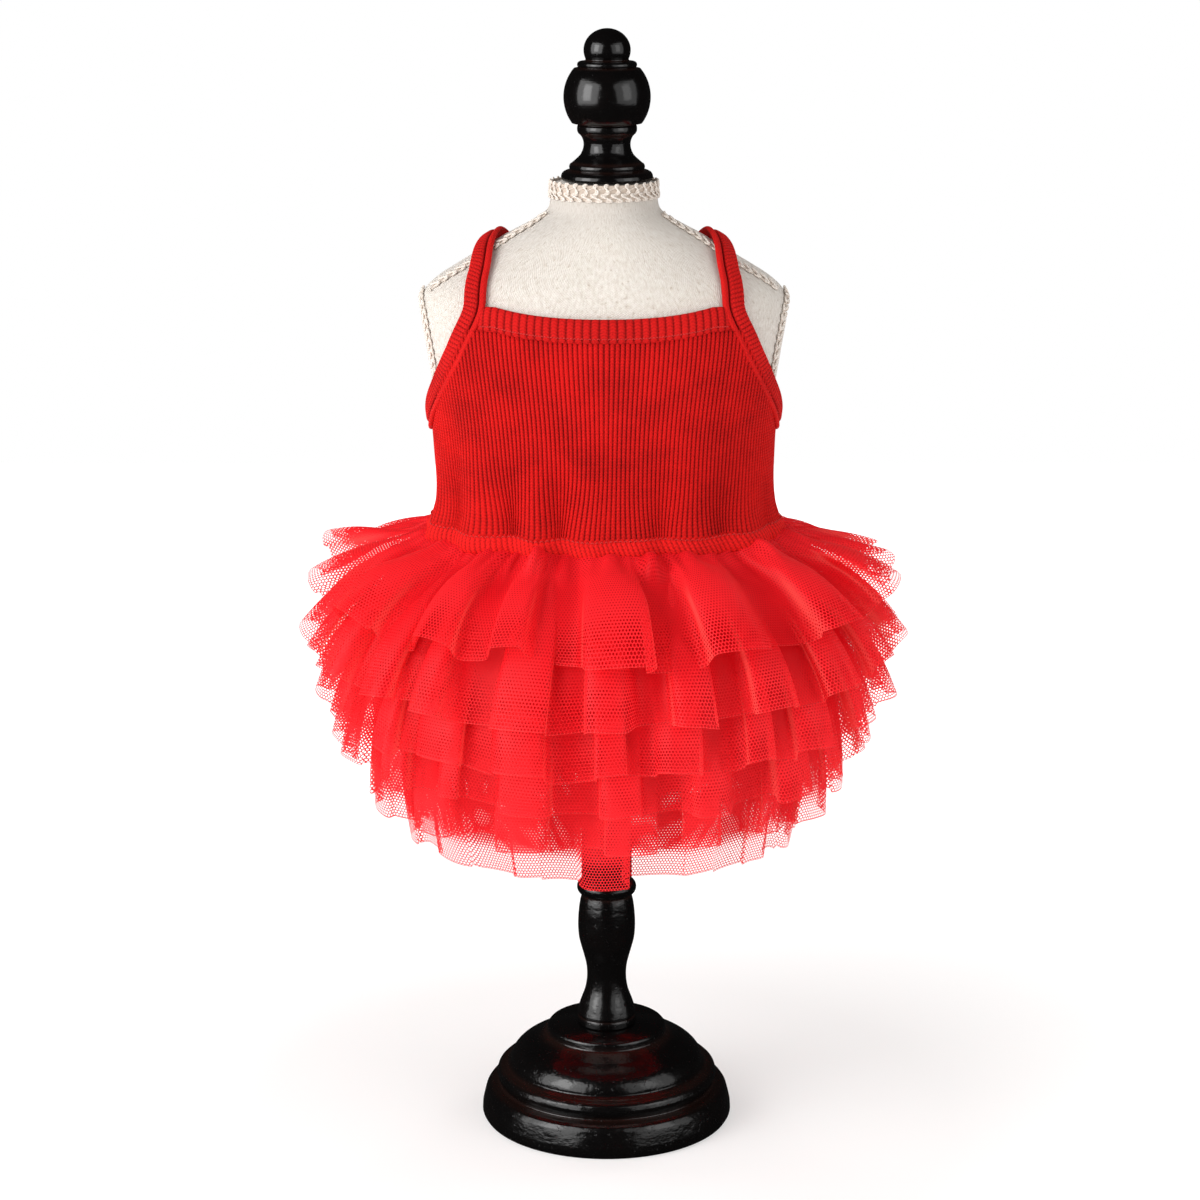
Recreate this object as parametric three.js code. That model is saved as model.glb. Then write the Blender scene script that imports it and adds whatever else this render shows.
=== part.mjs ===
// A small dog's tutu dress: a rib-knit camisole bodice with a skirt of six gathered net frills,
// worn by a limbless cloth-covered dress form on a turned black stand.
//
// Millimetres, +Z up. The origin is the centre of the stand's underside, and the dress faces -Y.
// Everything on the body is placed by two coordinates: "turn", the angle round the body in degrees
// (0 at the front, 90 at the side on +X, 180 at the back), and z, the height.
import * as THREE from "three";
import { mergeVertices } from "three/addons/utils/BufferGeometryUtils.js";

// ---- Driving dimensions ----------------------------------------------------------------------

const SEAM_GAP = 0.3; // between two pieces that are sewn or rest together
const KNIT = 1.3; // thickness of the rib knit
const RIB_HEIGHT = 0.45;
const BINDING_WIDTH = 10; // folded knit strip round the armholes and over the shoulders
const BINDING_THICK = 2.4; // the strip is folded, so it is two layers thick
const NECK_BINDING_HEIGHT = 10.4;
const NECK_FRONT_Z = 372.2; // top edge of the front neck binding, at the centre
const NECK_FRONT_RISE = 4.2; // how much higher that edge is at the straps
const NECK_BACK_Z = 372;
const NECK_BACK_RISE = 3;
const WAIST_HEM_LOW = 273.9;
const WAIST_HEM_HIGH = 282.4;

const NET_THICK = 1.0; // a frill's wall
const FRILL_WAVES = 23; // waves round each frill, six frills in all
const FRILL_ROOT_STEP = 1.75; // from one frill's root to the next, across the cloth
const WAIST_HALF_WIDTH = 77.8; // the line on which the top frill is gathered
const WAIST_HALF_DEPTH = 55.8;
const WAIST_Z = 271.3;

const BODY_COLUMNS = 26;
const BODY_OFFSET = -1.3; // the padded body is set a little to one side of the post
const FORM_TOP = 425.5;
const FORM_BOTTOM = 188;
const BRAID_THICK = 1.3;
const BRAID_HALF_WIDTH = 2;
const BRAID_GAP = 0.3;

const COLOURS = {
  knit: 0xb8120f,
  binding: 0xbb1713,
  net: 0xfa2a2e,
  linen: 0xe6dfd6,
  braid: 0xe9e3da,
  blackWood: 0x0d0c0c,
};

// ---- The dress form's body --------------------------------------------------------------------

// Level sections of the body, from the underside to the neck: a rounded oval each.
const BODY_SECTIONS = [
  { z: 188, halfWidth: 46, halfDepth: 33, squareness: 2.1 },
  { z: 214, halfWidth: 65, halfDepth: 45, squareness: 2.15 },
  { z: 240, halfWidth: 67, halfDepth: 45.6, squareness: 2.15 },
  { z: 268, halfWidth: 66.4, halfDepth: 44.8, squareness: 2.15 },
  { z: 296, halfWidth: 70.2, halfDepth: 48.6, squareness: 2.2 },
  { z: 325, halfWidth: 72.2, halfDepth: 50, squareness: 2.25 },
  { z: 356, halfWidth: 76.8, halfDepth: 46.8, squareness: 2.35 },
  { z: 367, halfWidth: 78.6, halfDepth: 43.6, squareness: 2.35 },
  { z: 375, halfWidth: 78.8, halfDepth: 40.6, squareness: 2.3 },
  { z: 380, halfWidth: 76.8, halfDepth: 38.4, squareness: 2.3 },
  { z: 385, halfWidth: 71.5, halfDepth: 36, squareness: 2.3 },
  { z: 390, halfWidth: 63.8, halfDepth: 33.4, squareness: 2.25 },
  { z: 395.5, halfWidth: 54.6, halfDepth: 30.8, squareness: 2.2 },
  { z: 403, halfWidth: 42.2, halfDepth: 27.4, squareness: 2.15 },
  { z: 409, halfWidth: 31, halfDepth: 24.2, squareness: 2.1 },
  { z: 413.5, halfWidth: 24.6, halfDepth: 22.2, squareness: 2 },
  { z: 418, halfWidth: 23, halfDepth: 21.4, squareness: 2 },
  { z: 425.5, halfWidth: 22.4, halfDepth: 21, squareness: 2 },
];

// How far the dress's inner face stands off the body, at each height.
const DRESS_EASE = [
  { z: 262, off: 10.4 },
  { z: 272, off: 9.6 },
  { z: 281, off: 6.3 },
  { z: 288, off: 3.1 },
  { z: 297, off: 1.3 },
  { z: 312, off: 0.95 },
  { z: 430, off: 0.95 },
];

// Soft folds that the gathered waist pulls into the bodice: depth is outwards, and each fades
// with height over "reach".
const BODICE_FOLDS = [
  { turn: -31, width: 5, depth: -1.5, reach: 26 },
  { turn: -22, width: 4, depth: 0.9, reach: 34 },
  { turn: -13, width: 4, depth: -1.6, reach: 24 },
  { turn: -3, width: 5, depth: 0.8, reach: 30 },
  { turn: 17, width: 4, depth: -1.1, reach: 18 },
  { turn: 48, width: 6, depth: 0.8, reach: 22 },
  { turn: 118, width: 5, depth: -1.2, reach: 22 },
  { turn: 150, width: 5, depth: 1, reach: 28 },
  { turn: 172, width: 5, depth: -1.4, reach: 25 },
  { turn: 205, width: 6, depth: 0.9, reach: 26 },
  { turn: 236, width: 5, depth: -1.2, reach: 20 },
];

const radians = THREE.MathUtils.degToRad;
const lerp = THREE.MathUtils.lerp;

// A column of a table at a height, on a smooth curve through the rows.
function tableAt(rows, z, column) {
  const last = rows.length - 1;
  const at = THREE.MathUtils.clamp(z, rows[0].z, rows[last].z);
  let i = 0;
  while (i < last - 1 && at > rows[i + 1].z) i++;
  const slope = (k) => {
    const a = rows[Math.max(k - 1, 0)];
    const b = rows[Math.min(k + 1, last)];
    return (b[column] - a[column]) / (b.z - a.z);
  };
  const span = rows[i + 1].z - rows[i].z;
  const t = (at - rows[i].z) / span;
  const fall = 2 * t ** 3 - 3 * t ** 2 + 1;
  return (
    fall * rows[i][column] +
    (1 - fall) * rows[i + 1][column] +
    (t ** 3 - 2 * t ** 2 + t) * span * slope(i) +
    (t ** 3 - t ** 2) * span * slope(i + 1)
  );
}

const signedPower = (value, power) => Math.sign(value) * Math.abs(value) ** power;

function bodyPoint(turn, z) {
  const power = 2 / tableAt(BODY_SECTIONS, z, "squareness");
  const a = radians(turn);
  return new THREE.Vector3(
    tableAt(BODY_SECTIONS, z, "halfWidth") * signedPower(Math.sin(a), power),
    -tableAt(BODY_SECTIONS, z, "halfDepth") * signedPower(Math.cos(a), power),
    z,
  );
}

function bodyNormal(turn, z) {
  const step = 0.5;
  const round = bodyPoint(turn + step, z).sub(bodyPoint(turn - step, z));
  const up = bodyPoint(turn, z + step).sub(bodyPoint(turn, z - step));
  return round.cross(up).normalize();
}

// A point that stands off the body, along its outward normal.
const offBody = (turn, z, off) => bodyPoint(turn, z).addScaledVector(bodyNormal(turn, z), off);

const dressEase = (z) => tableAt(DRESS_EASE, z, "off");

function foldDepth(turn, z) {
  const above = Math.max(z - WAIST_HEM_LOW, 0);
  return BODICE_FOLDS.reduce((sum, fold) => {
    const away = (((turn - fold.turn) % 360) + 540) % 360 - 180;
    return sum + fold.depth * Math.exp(-((away / fold.width) ** 2) - (above / fold.reach) ** 2);
  }, 0);
}

const dressInner = (turn, z) => dressEase(z) + foldDepth(turn, z);

// ---- Closed solids from rows of points ----------------------------------------------------------

const evenly = (count, from, to) => Array.from({ length: count + 1 }, (_, i) => lerp(from, to, i / count));
const roundAngles = (count) => evenly(count, -180, 180).slice(0, count);

// A solid whose skin runs from each row of points to the next and from the last back to the first.
// Neighbouring rows may have different numbers of points. Rows that go all the way round something
// are "closed"; otherwise the two ends of the solid are shut between the first rows and the last.
// The second half of the rows comes back behind the first, so its faces are cut along the same
// diagonals, and a thin wall keeps its thickness.
function solidFromRows(rows, closed) {
  const points = rows.flat();
  const starts = rows.map((_, r) => rows.slice(0, r).reduce((sum, row) => sum + row.length, 0));
  const faces = [];
  const indexAt = (r, i) => starts[r] + (i % rows[r].length);
  rows.forEach((row, r) => {
    const above = (r + 1) % rows.length;
    const steps = closed ? row.length : row.length - 1;
    const stepsAbove = closed ? rows[above].length : rows[above].length - 1;
    const goingOut = r < rows.length / 2;
    let i = 0;
    let k = 0;
    while (i < steps || k < stepsAbove) {
      const behind = (k + 0.5) / stepsAbove - (i + 0.5) / steps;
      if (k === stepsAbove || (i < steps && (behind > 0 || (behind === 0 && goingOut)))) {
        faces.push(indexAt(r, i), indexAt(r, i + 1), indexAt(above, k));
        i++;
      } else {
        faces.push(indexAt(above, k + 1), indexAt(above, k), indexAt(r, i));
        k++;
      }
    }
  });
  if (!closed) {
    for (let low = 0, high = rows.length - 1; low + 1 < high; low++, high--) {
      const first = (r) => indexAt(r, 0);
      const last = (r) => indexAt(r, rows[r].length - 1);
      faces.push(first(low), first(low + 1), first(high - 1), first(low), first(high - 1), first(high));
      faces.push(last(low + 1), last(low), last(high), last(low + 1), last(high), last(high - 1));
    }
  }
  const made = new THREE.BufferGeometry().setFromPoints(points);
  made.setIndex(faces);
  return made;
}

// A solid of revolution or the like: closed rows between two single points.
function cappedSolid(rows) {
  const made = solidFromRows(rows, true);
  const inner = rows.slice(1, -1).flat().length;
  const index = Array.from(made.index.array);
  const faces = [];
  for (let i = 0; i < index.length; i += 3) {
    const [a, b, c] = index.slice(i, i + 3);
    const degenerate = a === b || b === c || c === a;
    const joinsEnds = [a, b, c].includes(0) && [a, b, c].includes(inner + 1);
    if (!degenerate && !joinsEnds) {
      faces.push(a, b, c);
    }
  }
  made.setIndex(faces);
  return made;
}

// A wall between an outer face and an inner face, each given as rows that go up.
const wall = (outerRows, innerRows, closed) => solidFromRows([...outerRows, ...innerRows.toReversed()], closed);

// ---- Bands that follow a route over the body ------------------------------------------------------

// Frames along a closed route: each has its point on the band's inner face, the direction across
// the band and the outward normal. liftAt gives how far that face stands off the body.
function routeFrames(route, steps, liftAt, closed) {
  const curve = new THREE.CatmullRomCurve3(
    route.map((stop) => new THREE.Vector3(stop.turn, stop.z, 0)),
    closed,
    "centripetal",
  );
  const place = (t) => {
    const at = curve.getPoint(closed ? (t + 1) % 1 : THREE.MathUtils.clamp(t, 0, 1));
    return { turn: at.x, z: at.y, point: offBody(at.x, at.y, liftAt(at.x, at.y)) };
  };
  const count = closed ? steps : steps + 1;
  return Array.from({ length: count }, (_, i) => {
    const t = i / steps;
    const here = place(t);
    const along = place(t + 0.002).point.sub(place(t - 0.002).point).normalize();
    const normal = bodyNormal(here.turn, here.z);
    const across = normal.clone().cross(along).normalize();
    return { ...here, across, normal: along.clone().cross(across).normalize() };
  });
}

// A band with rounded edges, swept along frames.
function band(frames, halfWidth, thickness, closed) {
  const section = [
    { across: -halfWidth, out: 0 },
    { across: -halfWidth, out: thickness * 0.6 },
    { across: -halfWidth * 0.72, out: thickness },
    { across: halfWidth * 0.72, out: thickness },
    { across: halfWidth, out: thickness * 0.6 },
    { across: halfWidth, out: 0 },
  ];
  const rows = section.map((corner) =>
    frames.map((frame) =>
      frame.point
        .clone()
        .addScaledVector(frame.across, corner.across)
        .addScaledVector(frame.normal, corner.out),
    ),
  );
  return solidFromRows(rows, closed);
}

// The turn and height of the point of the body that a point near it stands over.
function underPoint(point, guess, off) {
  const at = { turn: guess.turn, z: guess.z };
  for (let round = 0; round < 8; round++) {
    const here = offBody(at.turn, at.z, off);
    const alongTurn = offBody(at.turn + 0.5, at.z, off).sub(here).multiplyScalar(2);
    const alongZ = offBody(at.turn, at.z + 0.5, off).sub(here).multiplyScalar(2);
    const miss = point.clone().sub(here);
    const a = alongTurn.dot(alongTurn);
    const b = alongTurn.dot(alongZ);
    const c = alongZ.dot(alongZ);
    const u = alongTurn.dot(miss);
    const v = alongZ.dot(miss);
    const scale = a * c - b * b;
    at.turn += (c * u - b * v) / scale;
    at.z += (a * v - b * u) / scale;
  }
  return at;
}

// ---- Armhole bindings, which run on as the shoulder straps -------------------------------------

const UNDERARM_Z = 323.5;
const STRAP_LIFT = 2.2; // over the shoulder braid
const UNDERARM_LIFT = 1.6; // the binding's two ends are sewn together here
const ARMHOLE_ROUTE = [
  { turn: 90, z: UNDERARM_Z },
  { turn: 73, z: 335 },
  { turn: 49, z: 359.5 },
  { turn: 40.5, z: 377 },
  { turn: 52, z: 390 },
  { turn: 90, z: 399.9 },
  { turn: 131, z: 395 },
  { turn: 150.5, z: 384 },
  { turn: 152.5, z: 371 },
  { turn: 139.5, z: 351 },
  { turn: 116, z: 333 },
];
const ARMHOLE_STEPS = 42;

// How far the binding's inner face stands off the body: more where it crosses the braid on the
// shoulder, and where it lies over its own join under the arm.
function bindingLift(turn, z) {
  const high = THREE.MathUtils.smoothstep(z, 384, 396);
  const low = 1 - THREE.MathUtils.smoothstep(z, UNDERARM_Z + 2, UNDERARM_Z + 22);
  return lerp(dressEase(z), STRAP_LIFT, high) + UNDERARM_LIFT * low;
}

const armholeFrames = routeFrames(ARMHOLE_ROUTE, ARMHOLE_STEPS, bindingLift, true);

// The edge of the binding that faces the bodice, in turn and height, with the seam's gap.
const bindingEdge = armholeFrames.map((frame) => {
  const inwards = BINDING_WIDTH / 2 + SEAM_GAP + 0.1;
  const middle = BINDING_THICK / 2;
  const edge = frame.point
    .clone()
    .addScaledVector(frame.across, inwards)
    .addScaledVector(frame.normal, middle);
  return underPoint(edge, frame, bindingLift(frame.turn, frame.z) + middle);
});

// The value of column "to" where the edge first crosses a value of column "from".
function alongEdge(rows, from, value, to, fallback) {
  const i = rows.findIndex(
    (row, k) => k < rows.length - 1 && (row[from] - value) * (rows[k + 1][from] - value) <= 0,
  );
  if (i < 0) {
    return fallback;
  }
  const share = (value - rows[i][from]) / (rows[i + 1][from] - rows[i][from]);
  return lerp(rows[i][to], rows[i + 1][to], share);
}

// Both halves of the edge start at the underarm and end on the shoulder.
const shoulderStep = Math.round(ARMHOLE_STEPS * (5 / ARMHOLE_ROUTE.length));
const frontEdge = bindingEdge.slice(0, shoulderStep + 1);
const backEdge = [bindingEdge[0], ...bindingEdge.slice(shoulderStep).toReversed()];

// ---- Bodice panels and neck bindings ------------------------------------------------------------

const neckTop = (turn, top, rise, reach) => top + rise * Math.min(Math.abs(turn) / reach, 1) ** 2;

// One half of the dress: which way it faces, and the edge of the binding on its side.
const FRONT = { centre: 0, edge: frontEdge, top: NECK_FRONT_Z, rise: NECK_FRONT_RISE, reach: 32 };
const BACK = { centre: 180, edge: backEdge, top: NECK_BACK_Z, rise: NECK_BACK_RISE, reach: 22 };

// The binding's edge by its turn away from the half's centre.
const halfEdge = (half) => half.edge.map((stop) => ({ away: Math.abs(half.centre - stop.turn), z: stop.z }));

const PANEL_ROWS = [0, 0.18, 0.58, 0.81, 1];
const INSIDE_STEP = 5; // about how many degrees each column of the plain inside turns
const RIBS_PER_STEP = 3;
const COLUMNS_PER_RIB = 2;

// Turns from one side seam to the other, with a column at each corner of the neckline.
function panelTurns(seam, corner, columnsPerStep) {
  const side = Math.round((seam - corner) / INSIDE_STEP) * columnsPerStep;
  const middle = Math.round((2 * corner) / INSIDE_STEP) * columnsPerStep;
  return [
    ...evenly(side, -seam, -corner),
    ...evenly(middle, -corner, corner).slice(1),
    ...evenly(side, corner, seam).slice(1),
  ];
}

function bodicePanel(half) {
  const edge = halfEdge(half);
  const underNeck = (away) =>
    neckTop(away, half.top, half.rise, half.reach) - NECK_BINDING_HEIGHT - SEAM_GAP;
  const armhole = (away) => alongEdge(edge, "away", away, "z", away > 60 ? edge[0].z : Infinity);
  const corner = alongEdge(edge, "z", underNeck(half.reach), "away", half.reach);
  const seam = 90 - THREE.MathUtils.radToDeg(SEAM_GAP / 2 / tableAt(BODY_SECTIONS, 300, "halfDepth"));
  const low = WAIST_HEM_HIGH + SEAM_GAP;
  const face = (columnsPerStep, offAt) =>
    PANEL_ROWS.map((share) =>
      panelTurns(seam, corner, columnsPerStep).map((away, i) => {
        const top = Math.min(armhole(Math.abs(away)), underNeck(away));
        const z = lerp(low, top, share);
        const turn = half.centre + away;
        return offBody(turn, z, dressInner(turn, z) + offAt(i));
      }),
    );
  const ribAt = (i) => KNIT + (i % COLUMNS_PER_RIB ? RIB_HEIGHT : 0);
  return wall(face(RIBS_PER_STEP * COLUMNS_PER_RIB, ribAt), face(1, () => 0), false);
}

const NECK_COLUMNS = 16;

function neckBinding(half) {
  const edge = halfEdge(half);
  const endAt = (z) => alongEdge(edge, "z", z, "away", half.reach);
  const rows = [
    { down: NECK_BINDING_HEIGHT, out: BINDING_THICK * 0.55 },
    { down: NECK_BINDING_HEIGHT * 0.86, out: BINDING_THICK },
    { down: NECK_BINDING_HEIGHT * 0.14, out: BINDING_THICK },
    { down: 0, out: BINDING_THICK * 0.55 },
  ];
  const grid = (thick) =>
    rows.map((row) => {
      const end = endAt(half.top + half.rise - row.down) - 0.35;
      return evenly(NECK_COLUMNS, -end, end).map((away) => {
        const z = neckTop(away, half.top, half.rise, half.reach) - row.down;
        return offBody(half.centre + away, z, dressEase(z) + thick * row.out);
      });
    });
  return wall(grid(1), grid(0), false);
}

// The bodice's turned-up hem, a soft roll round the waist that the frills hang from.
function waistHem() {
  const columns = roundAngles(52);
  const rows = [
    { z: WAIST_HEM_LOW, out: 1.3 },
    { z: lerp(WAIST_HEM_LOW, WAIST_HEM_HIGH, 0.45), out: 3 },
    { z: WAIST_HEM_HIGH, out: 1.9 },
  ];
  const grid = (offAt) =>
    rows.map((row) => columns.map((turn) => offBody(turn, row.z, dressInner(turn, row.z) + offAt(row))));
  return wall(grid((row) => row.out), grid(() => 0), true);
}

// ---- Net frills ---------------------------------------------------------------------------------

// Each frill's hem at the front, measured from the waist line, and the way it leaves the waist, in
// degrees below level. "lift" is how much higher the hem is at the side, "flute" the height of the
// waves at the hem, and "turned" how far its waves are moved round.
const FRILLS = [
  { out: 46.5, z: 239.8, leaves: 8, lift: 12, flute: 6.8, turned: 0, segments: 3 },
  { out: 49, z: 213.5, leaves: 24, lift: 12, flute: 6.4, turned: 1.2, segments: 2 },
  { out: 44, z: 191.5, leaves: 38, lift: 11, flute: 6, turned: 2.5, segments: 2 },
  { out: 36.5, z: 173, leaves: 49, lift: 9, flute: 5.6, turned: 3.6, segments: 2 },
  { out: 23.5, z: 153, leaves: 59, lift: 7, flute: 5.2, turned: 4.9, segments: 2 },
  { out: 5.5, z: 132.8, leaves: 68, lift: 5, flute: 4.8, turned: 6, segments: 2 },
];
const FLUTE_AT_ROOT = 0.35;

// Roots are stacked under the waist, each a little further in, square to the cloth between them.
function frillRoots() {
  const roots = [{ out: 0, z: WAIST_Z }];
  for (let k = 1; k < FRILLS.length; k++) {
    const lean = radians((FRILLS[k - 1].leaves + FRILLS[k].leaves) / 2);
    const before = roots[k - 1];
    roots.push({
      out: before.out - FRILL_ROOT_STEP * Math.sin(lean),
      z: before.z - FRILL_ROOT_STEP * Math.cos(lean),
    });
  }
  return roots;
}

const ROOTS = frillRoots();

// The frill's own cut line from root to hem, at a turn: out from the waist line, and z.
function frillProfile(frill, root, turn) {
  const a = radians(turn);
  const raised = frill.lift * (0.65 * (1 - Math.cos(a)) + 0.35 * Math.sin(a) ** 2);
  const from = new THREE.Vector2(root.out, root.z);
  const hem = new THREE.Vector2(frill.out + raised * 0.15, frill.z + raised);
  const lean = radians(frill.leaves);
  const bend = new THREE.Vector2(Math.cos(lean), -Math.sin(lean));
  bend.multiplyScalar(from.distanceTo(hem) * 0.52).add(from);
  return new THREE.QuadraticBezierCurve(from, bend, hem);
}

// Waves are uneven in width and in depth, as gathers are.
const unevenTurn = (turn) => turn + 2.2 * Math.sin(radians(2 * turn + 57)) + 1.5 * Math.sin(radians(5 * turn));
const unevenDepth = (turn) => 1 + 0.16 * Math.sin(radians(3 * turn + 40)) + 0.14 * Math.sin(radians(7 * turn));

const CORNERS = 4; // points in one wave: two on the crest and two in the trough
const ROOT_CORNERS = 2;

// One row of a frill's middle surface, with the normal at each of its points.
function frillRow(frill, root, share, corners) {
  const height = lerp(FLUTE_AT_ROOT, frill.flute, share ** 1.15);
  const columns = FRILL_WAVES * corners;
  const row = evenly(columns, 0, 360).slice(0, columns).map((even, i) => {
    const turn = unevenTurn(even + frill.turned);
    const a = radians(turn);
    const profile = frillProfile(frill, root, turn);
    const at = profile.getPoint(share);
    const slope = profile.getTangent(share);
    const crest = i % corners < corners / 2 ? 1 : -1;
    const wave = height * crest * unevenDepth(turn);
    const out = at.x - slope.y * wave;
    return {
      point: new THREE.Vector3(
        (WAIST_HALF_WIDTH + out) * Math.sin(a),
        -(WAIST_HALF_DEPTH + out) * Math.cos(a),
        at.y + slope.x * wave,
      ),
      up: new THREE.Vector3(-slope.x * Math.sin(a), slope.x * Math.cos(a), -slope.y),
    };
  });
  return row.map(({ point, up }, i) => {
    const next = row[(i + 1) % columns].point;
    const before = row.at(i - 1).point;
    return { point, normal: next.clone().sub(before).cross(up).normalize() };
  });
}

function frillWall(frill, index) {
  const rows = evenly(frill.segments, 1, 0).map((share) =>
    frillRow(frill, ROOTS[index], share, share > 0 ? CORNERS : ROOT_CORNERS),
  );
  const face = (side) =>
    rows.map((row) => row.map(({ point, normal }) => point.clone().addScaledVector(normal, (side * NET_THICK) / 2)));
  return wall(face(1), face(-1), true);
}

// ---- The dress form's cover and braid -------------------------------------------------------------

function formBody() {
  const columns = roundAngles(BODY_COLUMNS);
  const rows = BODY_SECTIONS.map((section) => columns.map((turn) => bodyPoint(turn, section.z)));
  const underside = [new THREE.Vector3(0, 0, FORM_BOTTOM)];
  const top = [new THREE.Vector3(0, 0, FORM_TOP)];
  return cappedSolid([underside, ...rows, top]);
}

const NECK_BRAID_LOW = 417;
const NECK_BRAID_HIGH = 426.6; // stands a little over the neck's edge
const NECK_BRAID_GAP = 0.75; // it bridges the hollow at the root of the neck

function neckBraid() {
  const columns = roundAngles(24);
  const heights = [NECK_BRAID_LOW, (NECK_BRAID_LOW + NECK_BRAID_HIGH) / 2, NECK_BRAID_HIGH];
  const grid = (off) => heights.map((z) => columns.map((turn) => offBody(turn, z, off)));
  return wall(grid(NECK_BRAID_GAP + BRAID_THICK), grid(NECK_BRAID_GAP), true);
}

const SHOULDER_BRAID_ROUTE = [
  { turn: 80, z: 411.4 },
  { turn: 76, z: 402 },
  { turn: 76, z: 390 },
  { turn: 82, z: 381.6 },
];
const ARM_BRAID_ROUTE = [
  { turn: 90, z: 378.3 },
  { turn: 79, z: 372 },
  { turn: 76.5, z: 358 },
  { turn: 78, z: 342 },
  { turn: 90, z: 331.5 },
  { turn: 102, z: 342 },
  { turn: 103.5, z: 358 },
  { turn: 101, z: 372 },
];

const braidLift = () => BRAID_GAP;
const braid = (route, steps, closed) =>
  band(routeFrames(route, steps, braidLift, closed), BRAID_HALF_WIDTH, BRAID_THICK, closed);

// ---- Turned wood ----------------------------------------------------------------------------------

// Points of an oval arc in a turning's outline; angles are from the outside, upwards.
function arc(centreRadius, centreZ, radius, height, fromDegrees, toDegrees, steps) {
  return evenly(steps, fromDegrees, toDegrees).map((degrees) => [
    centreRadius + radius * Math.cos(radians(degrees)),
    centreZ + height * Math.sin(radians(degrees)),
  ]);
}

function turned(outline, sides) {
  const low = outline[0][1];
  const high = outline.at(-1)[1];
  const points = [[0, low], ...outline, [0, high]];
  const lathe = new THREE.LatheGeometry(
    points.map(([radius, z]) => new THREE.Vector2(radius, z)),
    sides,
  );
  return lathe.rotateX(Math.PI / 2);
}

const BASE_RADIUS = 56.9;
const BASE_TOP = 42.8;

const baseOutline = [
  [BASE_RADIUS - 1, 0],
  [BASE_RADIUS, 1.6],
  [BASE_RADIUS - 1.1, 9],
  [BASE_RADIUS - 2.1, 12.7],
  [BASE_RADIUS - 4.3, 14.3],
  [48.8, 15.4],
  [50.1, 20.4],
  [48.4, 23],
  ...arc(22.7, 24.3, 21.4, 12.8, 2, 61, 5),
  [27.2, 38.6],
  [26.7, 41.8],
  [25.9, BASE_TOP],
];

const POST_FOOT = BASE_TOP + SEAM_GAP;
const POST_TOP = FORM_BOTTOM - SEAM_GAP;
const POST_RADIUS = 11.3;
const COLLAR_Z = 108.3;

// The baluster between the foot and the collar, as radii of a smooth curve.
const BALUSTER = new THREE.SplineCurve(
  [
    [13.1, 49],
    [11.2, 55],
    [9.4, 61],
    [8.9, 67],
    [11, 78],
    [12.8, 87],
    [12.8, 95],
    [11.5, 104],
  ].map(([radius, z]) => new THREE.Vector2(radius, z)),
);

const postOutline = [
  [13.2, POST_FOOT],
  [13.2, 47.6],
  ...BALUSTER.getPoints(10).map((point) => [point.x, point.y]),
  ...arc(10.2, COLLAR_Z, 3.3, 3.5, -70, 70, 3),
  [POST_RADIUS, 112.4],
  [POST_RADIUS, POST_TOP],
];

const FINIAL_FOOT = FORM_TOP + SEAM_GAP;
const FINIAL_BALL = { z: 461.3, radius: 18.6 };
const FINIAL_KNOB = { z: 480.9, radius: 10.1, height: 9.1 };

const finialOutline = [
  [19.2, FINIAL_FOOT],
  [19.5, 428.8],
  [16.9, 430],
  [16.7, 432.8],
  ...arc(18.6, 440.6, 8.5, 6.4, 230, 140, 3),
  [13.3, 447.2],
  [13.3, 450.2],
  ...arc(0, FINIAL_BALL.z, FINIAL_BALL.radius, FINIAL_BALL.radius, -38, 46, 5),
  [12.2, 475.6],
  ...arc(0, FINIAL_KNOB.z, FINIAL_KNOB.radius, FINIAL_KNOB.height, -28, 76, 5),
];

// ---- The whole ------------------------------------------------------------------------------------

function faceOut(geometry) {
  const at = geometry.getAttribute("position");
  const index = geometry.index.array;
  const [a, b, c] = [new THREE.Vector3(), new THREE.Vector3(), new THREE.Vector3()];
  let volume = 0;
  for (let i = 0; i < index.length; i += 3) {
    a.fromBufferAttribute(at, index[i]);
    b.fromBufferAttribute(at, index[i + 1]);
    c.fromBufferAttribute(at, index[i + 2]);
    volume += a.dot(b.cross(c));
  }
  if (volume < 0) {
    for (let i = 0; i < index.length; i += 3) {
      [index[i + 1], index[i + 2]] = [index[i + 2], index[i + 1]];
    }
  }
  return geometry;
}

function closedGeometry(geometry) {
  geometry.deleteAttribute("normal");
  geometry.deleteAttribute("uv");
  const merged = faceOut(mergeVertices(geometry, 1e-4));
  merged.computeVertexNormals();
  return merged;
}

const materials = {
  knit: new THREE.MeshStandardMaterial({ color: COLOURS.knit, roughness: 0.9 }),
  binding: new THREE.MeshStandardMaterial({ color: COLOURS.binding, roughness: 0.9 }),
  net: new THREE.MeshStandardMaterial({
    color: COLOURS.net,
    roughness: 0.7,
    transparent: true,
    opacity: 0.6,
    side: THREE.DoubleSide,
  }),
  linen: new THREE.MeshStandardMaterial({ color: COLOURS.linen, roughness: 0.95 }),
  braid: new THREE.MeshStandardMaterial({ color: COLOURS.braid, roughness: 0.85 }),
  blackWood: new THREE.MeshStandardMaterial({ color: COLOURS.blackWood, roughness: 0.25 }),
};

function piece(name, geometry, material) {
  const mesh = new THREE.Mesh(closedGeometry(geometry), material);
  mesh.name = name;
  return mesh;
}

// The same piece on the other side of the body.
function mirrored(name, geometry, material) {
  return piece(name, geometry.clone().scale(-1, 1, 1), material);
}

const stand = new THREE.Group();
stand.name = "stand";
stand.add(
  piece("base", turned(baseOutline, 32), materials.blackWood),
  piece("post", turned(postOutline, 16), materials.blackWood),
  piece("finial", turned(finialOutline, 18), materials.blackWood),
);

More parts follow.
